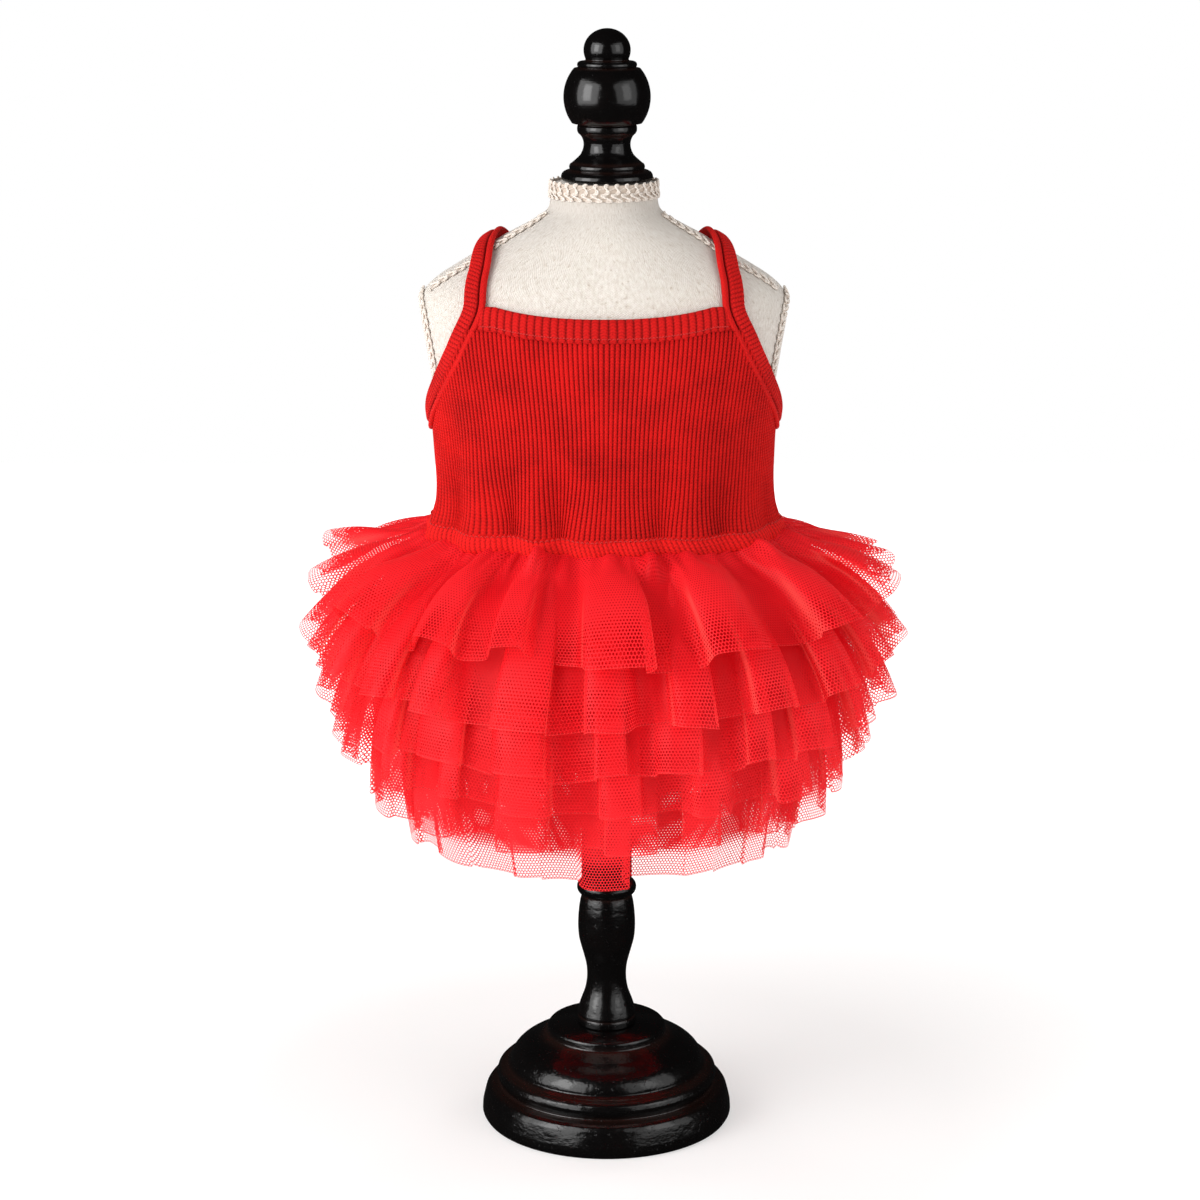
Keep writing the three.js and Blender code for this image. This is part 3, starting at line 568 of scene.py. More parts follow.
def cloth_round(turn_count, heights):
    """Distance round the body, and up it, for a pattern in mm."""
    turns = np.arange(turn_count + 1) / turn_count * 360
    return turns[None, :] * (70 * np.pi / 180), heights[:, None]


def even_turn(share):
    """The turn that lies at a share of the way round the body, measured along the cloth."""
    fine = np.linspace(0, 360, 1441)
    there = on_body(fine, 320)
    length = np.concatenate([[0], np.cumsum(np.linalg.norm(np.diff(there, axis=0), axis=1))])
    whole, part = np.floor(share), share - np.floor(share)
    return (whole + np.interp(part * length[-1], length, fine) / 360) * 360


# %% Covered body
heights = np.concatenate([np.linspace(188, 372, 70), np.linspace(373.5, 425.0, 76)])
turns = np.arange(180) / 180 * 360
cover = on_body(turns[None, :], heights[:, None])
cover = grid(cover, around=True, caps=True, cloth=cloth_round(180, heights))
body = build("covered_body", [cover], linen, ["form_body"])

# %% [markdown]
# ## Gimp braid
#
# Gimp is a cord looped from side to side over a flat core. Its path is a wave whose crests are
# bent back on themselves: going along by p each turn and back by a·sin(2t) makes a small eye at each
# edge. Two or three cords side by side make the eyes look plied. They lift over each other
# where they cross.

# %% Braid helpers
def tube(path, radius, facing, sides=6, closed=False, marks=None):
    """Carries a circle along a path. Its two axes are square to the path, one of them as near as
    possible to facing."""
    ahead = np.roll(path, -1, 0) - np.roll(path, 1, 0) if closed else np.gradient(path, axis=0)
    ahead = unit(ahead)
    side = unit(np.cross(ahead, facing))
    up = np.cross(side, ahead)
    a = np.arange(sides) / sides * 2 * np.pi
    radius = np.broadcast_to(radius, len(path))[:, None, None]
    circle = np.cos(a)[None, :, None] * side[:, None] + np.sin(a)[None, :, None] * up[:, None]
    ring = path[:, None] + radius * circle
    length = np.concatenate([[0], np.cumsum(np.linalg.norm(np.diff(path, axis=0), axis=1))])
    if closed:
        length = np.append(length, length[-1] * (1 + 1 / len(path)))
    u = length[:, None]
    v = (np.arange(sides + 1) / sides * 2)[None, :]
    return grid(ring, along=closed, around=True, caps=not closed, cloth=(u, v), marks=marks)


def even_route(route, closed, step):
    """Places a curve of (turn, height) at equal steps on the body, and returns the turns and heights."""
    fine = spline(route, 4000, closed)
    if closed:
        fine = np.vstack([fine, fine[:1]])
    there = on_body(fine[:, 0], fine[:, 1])
    length = np.concatenate([[0], np.cumsum(np.linalg.norm(np.diff(there, axis=0), axis=1))])
    count = max(8, int(round(length[-1] / step)))
    at = np.linspace(0, length[-1], count, endpoint=not closed)
    return np.interp(at, length, fine[:, 0]), np.interp(at, length, fine[:, 1]), length[-1]


def frames(turn, height, out, closed):
    """The place, the way out and the way across, at each point of a route on the body."""
    place = off_body(turn, height, out)
    ahead = unit(np.roll(place, -1, 0) - np.roll(place, 1, 0)) if closed else unit(np.gradient(place, axis=0))
    across = unit(np.cross(body_normal(turn, height), ahead))
    return place, np.cross(ahead, across), across


def scroll(route, closed, pitch, half, radius, cords, bend):
    """Cord k of a gimp braid: along = p·t/2π - a·sin 2t, across = half·cos t, and out = c·sin t, so
    that it passes over itself. t grows by 2π for each repeat."""
    turn, height, length = even_route(route, closed, 0.25)
    repeats = int(round(length / pitch))
    place, normal, across = frames(turn, height, 0 * turn + 0.3 + radius, closed)
    steps = 20 * repeats
    t = np.arange(steps + (0 if closed else 1)) / steps * repeats * 2 * np.pi
    parts = []
    for k in range(cords):
        inset = half - k * radius * 1.75
        travel = t / (2 * np.pi) / repeats + (-bend * pitch / 2 * np.sin(2 * t) * inset / half) / length
        at = (travel % 1.0 if closed else np.clip(travel, 0, 1)) * (len(turn) - (0 if closed else 1))

        def pick(values):
            """The values between the route's points, at each step of the cord."""
            values = np.vstack([values, values[:1]]) if closed else values
            return np.stack([np.interp(at, np.arange(len(values)), values[:, c]) for c in range(3)], -1)

        out = radius * 0.8 * np.sin(t)
        path = pick(place) + pick(across) * (inset * np.cos(t))[:, None] + pick(normal) * out[:, None]
        # painted shade: a cord is painted darker where it dips under the other
        deep = np.clip(0.1 - out / radius * 0.25, 0, 1)
        parts.append(tube(path, radius, pick(normal), 6, closed, marks={"deep": deep[:, None]}))
    return parts


def core(route, closed, half, thick):
    """A flat strip under the cords: a rounded section carried along the route."""
    turn, height, _ = even_route(route, closed, 1.2)
    place, normal, across = frames(turn, height, 0 * turn + 0.1, closed)
    s = np.array([-1, -0.92, -0.4, 0.4, 0.92, 1, 0.9, -0.9]) * half
    h = np.array([0.4, 0.85, 1, 1, 0.85, 0.4, 0, 0]) * thick
    points = place[:, None] + across[:, None] * s[None, :, None] + normal[:, None] * h[None, :, None]
    # painted shade: the core under the cords is painted darker
    return grid(points, along=closed, around=True, caps=not closed, marks={"deep": 0.24})


# %% Braids on the form
def mirror(route):
    """The same route on the other side of the form."""
    return [(-turn, height) for turn, height in route]


NECK_RADIUS = 23.5
NECK_ROWS = [  # height, half width, pitch, bend, lean, cord's radius, cords
    (424.4, 2.0, 4.6, 0.55, 1.2, 0.36, 3), (420.7, 1.6, 4.4, 0.80, 0.0, 0.40, 2)]


def neck_braid():
    """Two rows of loops on a strip: leaf-like loops above, round eyes below."""
    parts = []
    for level, half, pitch, bend, lean, radius, cords in NECK_ROWS:
        count = int(round(2 * np.pi * NECK_RADIUS / pitch))
        steps = 24 * count
        t = np.arange(steps) / steps * count * 2 * np.pi
        for k in range(cords):
            inset = half - k * radius * 1.6
            turn = t / (2 * np.pi) / count * 360 + np.degrees(
                (-bend * pitch / 2 * np.sin(2 * t) * inset / half + lean * np.cos(t)) / NECK_RADIUS)
            out = radius * 0.8 * np.sin(t)
            path = off_body(turn, level + inset * np.cos(t), 0.7 + out)
            # painted shade: a cord is painted darker where it dips under the other
            parts.append(tube(path, radius, body_normal(turn, level + 0 * turn), 6, True,
                              marks={"deep": np.clip(0.12 - out / radius * 0.25, 0, 1)[:, None]}))
    a = np.arange(120) * 3.0
    h = np.array([419.1, 419.5, 421.9, 422.4, 422.9, 425.6, 426.0, 425.8, 419.5])
    o = np.array([0.1, 0.35, 0.35, 0.25, 0.35, 0.4, 0.3, 0.05, 0.05])
    strip = off_body(a[:, None] + 0 * h, h[None, :] + 0 * a[:, None], o[None, :] + 0 * a[:, None])
    # painted shade: the strip under the loops is painted darker
    parts.append(grid(strip, along=True, around=True, marks={"deep": 0.55}))
    build("neck_gimp", parts, braid_yarn, ["neck_braid"])


neck_braid()
SHOULDER_ROUTE = [(73, 412.4), (69.5, 402), (69.5, 390), (75, 381.0)]
ARM_ROUTE = [(90, 378.3), (75, 372), (71.5, 358), (73, 342), (90, 331.5), (102, 342), (103.5, 358), (101, 372)]
for side, turned_over in (("right", lambda route: route), ("left", mirror)):
    for place, route, closed in (("shoulder", SHOULDER_ROUTE, False), ("arm", ARM_ROUTE, True)):
        route = turned_over(route)
        parts = scroll(route, closed, 4.1, 2.2, 0.46, 2, 0.8) + [core(route, closed, 1.5, 0.35)]
        build(f"{place}_gimp_{side}", parts, braid_yarn, [f"{place}_braid_{side}"])


# %% [markdown]
# ## Bodice
#
# Front and back are each one cut of rib knit. The cloth stands off the body by an ease read from a
# table, and it has folds near the waist where the elastic hem gathers it: soft troughs and ridges, each
# with its own place, width, depth and length. The ribs are part of the surface, and they lean in to
# each fold, as real ribs do.

# %% Ease and folds
ease_at = table([  # height, and how far the dress's inside stands off the body
    (262, 10.4), (272, 9.6), (281, 6.3), (288, 3.1), (297, 1.3), (312, 0.95), (430, 0.95)])
FOLDS = [  # turn, half width in degrees, depth in mm, how far up it reaches in mm
    (-31, 5, -3.0, 34), (-22, 4, 1.5, 36), (-13, 4, -3.4, 30), (-3, 5, 1.5, 34), (9, 5, 0.8, 26),
    (18, 4, -2.0, 24), (30, 5, 1.1, 22), (43, 5, -1.4, 26), (55, 6, 1.3, 24), (70, 5, -1.8, 22),
    (-47, 5, 1.4, 40), (-59, 5, -2.2, 42), (-74, 5, 1.5, 30), (-86, 6, -1.2, 26), (88, 6, 1.1, 28),
    (104, 6, -1.2, 22), (118, 5, -1.8, 26), (135, 5, 1.3, 30), (150, 5, 1.2, 30),
    (161, 4, -2.2, 30), (172, 5, -1.9, 27), (190, 6, 1.1, 26), (205, 6, -2.0, 30),
    (222, 5, 1.2, 26), (236, 5, -1.9, 24), (250, 5, 0.9, 20), (262, 5, -1.1, 20)]
WAIST_LOW = 273.9  # height of the hem's lower edge
KNIT_WALL = 1.3


def across_fold(turn, centre):
    """Degrees from the fold's middle, by the shorter way round."""
    return (turn - centre + 180) % 360 - 180


def dress_inner(turn, height):
    """The ease plus, for each fold, depth · exp(-(away/width)² - (above/reach)²)."""
    above = np.maximum(height - WAIST_LOW, 0)
    out = ease_at(height)[0] + 0 * turn
    for centre, width, depth, reach in FOLDS:
        out = out + depth * np.exp(-((across_fold(turn, centre) / width) ** 2) - (above / reach) ** 2)
    return out


def leaning(turn, height):
    """Turns each rib towards the troughs near it, most at the hem."""
    above = np.maximum(height - WAIST_LOW, 0)
    shift = 0 * turn + 0 * height
    for centre, width, depth, reach in FOLDS:
        away = across_fold(turn, centre)
        fade = np.exp(-((away / (2.2 * width)) ** 2) - (above / (0.7 * reach)) ** 2)
        shift = shift + np.minimum(depth, 0) * 0.28 * away * fade
    return turn + shift


# %% Bodice panels
ARMHOLE_ROUTE = [  # turn and height
    (90, 323.5), (73, 335), (49, 359.5), (40.5, 377), (52, 390), (90, 399.9), (131, 395), (150.5, 384),
    (152.5, 371), (139.5, 351), (116, 333)]
armhole = spline(ARMHOLE_ROUTE, 2000, True)
lowest, furthest = np.argmin(armhole[:, 0]), np.argmax(armhole[:, 0])
# Middle, neckline there, its rise at the corner, the corner's turn, and the armhole's lower edge
PANELS = {
    "front": (0, 372.2, 4.2, 32, armhole[:lowest + 1][::-1]),
    "back": (180, 372.0, 3.0, 22, np.vstack([armhole[furthest:], armhole[:1]]))}


def neck_top(away, top, rise, corner):
    """The neckline: top at its middle, and rising as a parabola to its corner."""
    return top + rise * np.minimum(np.abs(away) / corner, 1) ** 2


def panel(name, node):
    """A point is off_body(turn, height, ease + folds + 1.3 + rib), where rib = 0.75 (1 - |w|^2.4) and w
    runs from -1 to 1 across each rib. The inner face is the same without ribs."""
    centre, top, rise, corner, edge = PANELS[name]
    ribs, steps = 108, 8
    q = np.arange(ribs * steps + 1) / steps - ribs / 2
    away = even_turn(q / ribs / 2) * (89.85 / 90)
    edge_away = np.abs(edge[:, 0] - centre)
    order = np.argsort(edge_away)
    limit = np.interp(np.abs(away), edge_away[order], edge[order, 1], left=1e6)
    high = np.minimum(limit, neck_top(away, top, rise, corner) - 9.6)
    share = np.concatenate([np.linspace(0, 0.35, 26), np.linspace(0.37, 1, 26)])
    inner_share = np.linspace(1, 0, 8)
    w = (q % 1) * 2 - 1
    rib = 0.75 * (1 - np.abs(w) ** 2.4)
    low = 281.0

    def wall(shares, outer):
        """The points of one face of the cloth, from the hem to the neckline."""
        height = low + (high - low)[None, :] * shares[:, None]
        turn = leaning(centre + away[None, :] + 0 * height, height)
        out = dress_inner(turn, height) + (KNIT_WALL + rib[None, :] if outer else 0.0)
        return off_body(turn, height, out), height

    face, height = wall(share, True)
    inside, _ = wall(inner_share, False)
    points = np.vstack([face, inside]).transpose(1, 0, 2)  # along the columns, round the section
    u = np.broadcast_to(q[:, None], (len(q), len(share) + len(inner_share) + 1))
    up = np.hstack([height.T, np.broadcast_to(high[:, None], (len(q), len(inner_share))), height.T[:, :1]])
    # painted shade: the groove mark darkens the knit between the ribs
    groove = np.hstack([np.broadcast_to(np.abs(w)[:, None] ** 4, (len(q), len(share))),
                        np.zeros((len(q), len(inner_share)))])
    section = grid(points, around=True, caps=True, cloth=(u, up), marks={"groove": groove})
    made = build(f"bodice_{name}_knit", [section], knit, [node])
    diagonals = np.cross(face[1:, 1:] - face[:-1, :-1], face[1:, :-1] - face[:-1, 1:])
    return made


front = panel("front", "bodice_front")
panel("back", "bodice_back")


# %% [markdown]
# ## Neck bindings
#
# A strip of the same knit, folded over the neckline and coverstitched. Its ribs run up and down and
# are stretched wider than the bodice's. The section is a soft pillow with a stitched groove near its
# lower edge.

# %% Neck bindings
def even_share(turn):
    """The inverse of even_turn, between the front and one side."""
    shares = np.linspace(0, 0.25, 400)
    return np.interp(turn, even_turn(shares), shares)


ALONG = np.linspace(0, 1, 7)  # along one stitch
ARCH = np.sin(ALONG * np.pi)  # how far it is lifted there


def sew(name, turns, heights, out, arch, radius):
    """A row of stitches: each row of turns and heights is one loop of thread, which stands off the
    dress's inside by out, and by arch more in its middle."""
    loops = []
    for turn, height in zip(turns, heights):
        lifted = dress_inner(turn, height) + out + arch * ARCH
        loops.append(tube(off_body(turn, height, lifted), radius, body_normal(turn, height), 5))
    build(name, loops, thread)


def neck_binding(name, node):
    """Section: out = ease + 2.4 · (1 - |s|^5)^0.5 · rib, where s runs from -1 to 1 up the strip, and
    rib dips by 22% between two ribs. A dent and a swell low on it are the row of stitches."""
    centre, top, rise, corner, _ = PANELS[name]
    reach = {"front": 38.6, "back": 25.2}[name]
    ribs = int(round(2 * np.radians(reach) * 68 / 2.75))
    steps = 8
    q = np.arange(ribs * steps + 1) / steps
    away = even_turn((q / ribs - 0.5) * even_share(reach) * 2)
    w = (q % 1) * 2 - 1
    s = np.sin(np.linspace(-1, 1, 21) * np.pi / 2)
    upper = neck_top(away, top, rise, corner)
    ends = 1 - 0.45 * smoothstep(np.abs(away), reach - 3.5, reach)
    height = upper[:, None] - 5.2 + 5.2 * s[None, :]
    sewn = 1 - 0.24 * np.exp(-(((s + 0.60) / 0.10) ** 2)) + 0.12 * np.exp(-(((s + 0.85) / 0.12) ** 2))
    puff = (1 - np.abs(s) ** 5) ** 0.5 * sewn
    rib = 1 - 0.22 * np.abs(w) ** 2.6
    turn = centre + away[:, None] + 0 * height
    thick = 2.4 * puff[None, :] * rib[:, None] * ends[:, None]
    face = off_body(turn, height, dress_inner(turn, height) + 0.05 + thick)
    s2 = np.linspace(0.8, -0.8, 5)
    height2 = upper[:, None] - 5.2 + 5.2 * s2[None, :]
    turn2 = centre + away[:, None] + 0 * height2
    under = off_body(turn2, height2, dress_inner(turn2, height2))
    points = np.concatenate([face, under], 1)
    v = np.concatenate([s * 5.2, s2 * 0, s[:1] * 5.2])[None, :]
    # painted shade: the groove mark darkens the knit between the ribs
    groove = np.concatenate([np.abs(w)[:, None] ** 4 + 0 * s, 0 * w[:, None] + 0 * s2], 1)
    section = grid(points, around=True, caps=True, cloth=(q[:, None] * 1.0, v), marks={"groove": groove})
    made = build(f"neck_binding_{name}_knit", [section], folded_knit, [node])
    length = np.linalg.norm(np.diff(face[:, 10], axis=0), axis=1).sum()
    count = int(length / 1.45)
    at = ((np.arange(count) + 0.5) / count * 2 - 1)[:, None]
    sewn_line = neck_top((at + 0 * ALONG) * (reach - 1.5), top, rise, corner) - 5.2 - 5.2 * 0.62
    sew(f"neck_stitching_{name}", centre + (at + (ALONG - 0.5) * 1.5 / count) * (reach - 1.5),
        sewn_line + 0.45 * ARCH, 1.72, 0.35, 0.18)


neck_binding("front", "neck_binding_front")
neck_binding("back", "neck_binding_back")


# %% [markdown]
# ## Armhole bindings and straps
#
# Each side is one closed strip. It binds the armhole, then leaves the cloth and runs over the
# shoulder as a strap. It is folded to the inside and topstitched, so its section is a wide ribbed
# roll, a stitched groove, and a narrow plain roll on the side that faces the bodice.

# %% Straps
def strap_lift(height):
    """The dress's ease, 2.2 mm over the shoulder, and 1.6 mm more at the underarm."""
    over = smoothstep(height, 384, 396)
    return ease_at(height)[0] * (1 - over) + 2.2 * over + 1.6 * (1 - smoothstep(height, 325.5, 345.5))


def strap(side, sign):
    """Section: s runs from -5 to 5 mm across, and h is 2.4 mm times one pillow from -5 to 1.9 and a
    second, 0.9 as high, from 2.0 to 5. Cross ribs add 0.3 mm on the first."""
    rib_pitch = 1.83
    turn, height, length = even_route(ARMHOLE_ROUTE, True, rib_pitch / 6)
    count = len(turn)
    ribs = int(round(length / rib_pitch))
    place, normal, across = frames(turn, height, strap_lift(height), True)
    a = np.sin(np.linspace(-1, 1, 15) * np.pi / 2)
    b = np.sin(np.linspace(-1, 1, 9) * np.pi / 2)
    s = np.concatenate([-1.55 + 3.45 * a, 3.5 + 1.5 * b])
    puff = np.concatenate([0.38 + 0.62 * (1 - np.abs(a) ** 4) ** 0.5, 0.38 + 0.56 * (1 - b**2) ** 0.5])
    puff[0] = puff[-1] = 0.3
    is_wide = np.concatenate([1 - np.abs(a) ** 6, 0 * b])
    along = np.arange(count)[:, None] / count * ribs
    wander = 0.35 * np.sin(along / ribs * 2 * np.pi * 3 + 1) + 0.2
    w = ((along + wander * s[None, :] * 0.45) % 1) * 2 - 1
    rib = 1 - np.abs(w) ** 3
    thick = 2.4 * puff[None, :] - 0.2 + 0.30 * rib * is_wide[None, :]
    slack = 0.25 * np.sin(along / ribs * 2 * np.pi * 5)
    out = (thick + 0.1 * slack)[..., None]
    face = place[:, None] + across[:, None] * s[None, :, None] + normal[:, None] * out
    s2 = np.array([4.6, 1.5, -1.5, -4.6])
    under = place[:, None] + across[:, None] * s2[None, :, None] + 0 * normal[:, None]
    points = np.concatenate([face, under], 1)
    u = np.arange(count + 1)[:, None] / count * ribs
    v = np.concatenate([s, s2 * 0, s[:1]])[None, :]
    # painted shade: the groove mark darkens the knit between ribs and in the valley between the two rolls
    between = np.exp(-(((s - 1.95) / 0.45) ** 2))[None, :]  # the valley between the two rolls
    groove = np.concatenate([np.abs(w) ** 4 * is_wide + between, 0 * along + 0 * s2], 1)
    if sign < 0:
        points = mirrored(points)
    section = grid(points, along=True, around=True, cloth=(u, v), marks={"groove": np.clip(groove, 0, 1)})
    made = build(f"strap_{side}_knit", [section], folded_knit, [f"armhole_strap_{side}"])


def mirrored(points):
    """The same points on the other side of the form's middle."""
    return points * np.array([-1, 1, 1]) + np.array([2 * AXIS_X, 0, 0])


strap("right", 1)
strap("left", -1)


# %% [markdown]
# ## Waist hem
#
# The bodice's lower edge is turned and stitched over the gathers, and it rolls outward. Its ribs are
# pulled to a slant, and light loops of thread show along the top.

# %% Waist hem
def waist_hem():
    """Round the body, from about 273.7 to 282.5 mm up: out = inner + 0.5 + 2.5 · pillow + 0.5 · rib ·
    pillow^0.5, where the pillow is a sine, fuller below its middle, and the ribs slant."""
    ribs, steps = 184, 6
    q = np.arange(ribs * steps) / steps
    s = np.linspace(0, 1, 19)
    bump_up = 0.55 * np.sin(np.radians(q / ribs * 360 * 3 + 40)) + 0.35 * np.sin(np.radians(q / ribs * 360 * 7))
    low, high = 273.7 + 0.4 * bump_up, 282.5 + 0.5 * bump_up
    height = low[:, None] + (high - low)[:, None] * s[None, :]
    pillow = np.sin(np.pi * s**0.82) ** 0.55
    slant = 1.35 + 0.5 * np.sin(q / ribs * 2 * np.pi * 2 + 0.7)
    w = ((q[:, None] + slant[:, None] * s[None, :]) % 1) * 2 - 1
    rib = 1 - np.abs(w) ** 3
    turn = even_turn(q / ribs)[:, None] + 0 * height
    out = dress_inner(turn, height) + 0.5 + 2.5 * pillow[None, :] + 0.5 * rib * pillow[None, :] ** 0.5
    face = off_body(turn, height, out)
    s2 = np.linspace(0.9, 0.1, 4)
    height2 = low[:, None] + (high - low)[:, None] * s2[None, :]
    turn2 = even_turn(q / ribs)[:, None] + 0 * height2
    under = off_body(turn2, height2, dress_inner(turn2, height2))
    points = np.concatenate([face, under], 1)
    u = np.arange(len(q) + 1)[:, None] / steps
    v = np.concatenate([s * 8.5, s2 * 0, s[:1] * 8.5])[None, :]
    # painted shade: the groove mark darkens the knit between the ribs
    groove = np.concatenate([np.abs(w) ** 4, 0 * q[:, None] + 0 * s2], 1)
    roll = grid(points, along=True, around=True, cloth=(u, v), marks={"groove": groove})
    made = build("waist_hem_knit", [roll], hem_knit, ["waist_hem"])
    at = (np.arange(ribs)[:, None] + 0.5 + (ALONG - 0.5) * 0.66) / ribs
    sew("waist_stitching", even_turn(at), 281.0 + 0.5 * bump_up[::steps, None] + 0.8 * ARCH, 2.25, 0.5, 0.2)
    return made


hem = waist_hem()


# %% [markdown]
# ## Frills
#
# Each frill is a long strip of net, gathered to the waist along one edge and free at the other. A
# cloth simulation of six crossing layers would take minutes and would not repeat the same folds,
# so they are placed by formula. Crisp net hangs in broad, nearly flat faces, by turns further out
# and further in, that meet at sharp folds. From the gathers down, small pleats run together into
# these faces. The wall also slides sideways, so that an outer face swells and its sides fold under:
# that overlap makes net look bright along its folds, and those folds are also painted paler, as a
# painted highlight. The faces at the front of the top frill are given in short tables, as its largest
# folds are, and the rest come from a seeded one.

# %% Frill shapes
WAIST_HALF_WIDTH, WAIST_HALF_DEPTH, WAIST_Z = 77.8, 55.8, 271.3
FRILLS = [  # hem's distance out, its height, angle of leaving, lift at the back, depth of faces, faces
    (46.5, 238.8, 8, 12, 6.2, 46), (49, 212.5, 24, 12, 5.8, 46), (44, 189.5, 38, 11, 5.2, 42),
    (36.5, 170.5, 49, 9, 4.6, 40), (23.5, 150.3, 59, 7, 3.8, 34), (5.5, 131.2, 68, 5, 2.8, 28)]
ROOT_STEP = 1.75  # mm between the heads of neighbouring frills
roots = [(0.0, WAIST_Z)]  # distance out and height of each frill's head
for before, after in zip(FRILLS, FRILLS[1:]):
    lean = np.radians((before[2] + after[2]) / 2)
    roots.append((roots[-1][0] - ROOT_STEP * np.sin(lean), roots[-1][1] - ROOT_STEP * np.cos(lean)))


def fall_line(number, turn, share):
    """A quadratic curve from the waist, out at the angle of leaving, to the hem. The hem is lifted
    by (1 - cos)·0.65 + sin²·0.35 of its lift. Returns the distance out, the height and the slope."""
    out, height, leaves, lift, _, _ = FRILLS[number]
    a = np.radians(turn)
    raised = lift * (0.65 * (1 - np.cos(a)) + 0.35 * np.sin(a) ** 2)
    hem_out, hem_z = out + 0.15 * raised, height + raised
    root_out, root_z = roots[number]
    reach = np.hypot(hem_out - root_out, hem_z - root_z) * 0.52
    leaves = np.radians(leaves)
    bend_out, bend_z = root_out + reach * np.cos(leaves), root_z - reach * np.sin(leaves)
    at = lambda a, b, c: (1 - share) ** 2 * a + 2 * share * (1 - share) * b + share**2 * c
    slope = lambda a, b, c: 2 * (1 - share) * (b - a) + 2 * share * (c - b)
    run, drop = slope(root_out, bend_out, hem_out), slope(root_z, bend_z, hem_z)
    length = np.hypot(run, drop)
    return at(root_out, bend_out, hem_out), at(root_z, bend_z, hem_z), run / length, drop / length


# The top frill's front faces, left to right: width in degrees, and mm that each hangs lower
FRONT_FACES = [13, 14, 13, 12.3, 9.2, 7.8, 7.3, 11.2, 13.3, 11.2, 13.9, 13.3, 13, 14, 13.5]
FRONT_DROPS = [0, 1, -1, 1, -1.5, 0.5, -3.5, -2.2, 2.6, 1.6, 0.6, -1.8, 1, -1, 0]
# The mm that some of its faces ride up on the waist hem, by the face's number
PUFFS = {5: 2.0, 6: 4.8, 7: 2.0, 9: 4.6, 12: 2.4, 14: 1.5, 22: 3.0, 28: 3.4, 36: 3.0}
FIRST_FOLD = [-92, -96, -88, -94, -90, -92]  # the turn of each frill's first fold
# Where a frill kicks up at the sides: turn, reach in degrees, lift of the hem in mm
FLARES = {0: [(-104, 9, 11), (101, 9, 8)], 1: [(-100, 8, 5), (97, 8, 4)]}
# From how far above the hem to how far the gathers crowd the net, in mm, and how crowded it gets
CROWDED = [(4, 24, 1.0), (4, 22, 1.0), (4, 20, 1.0), (4, 18, 1.0), (5, 17, 1.12), (9, 18, 1.12)]
PER_FACE, ROWS = 18, 36  # points across one face, and from head to hem


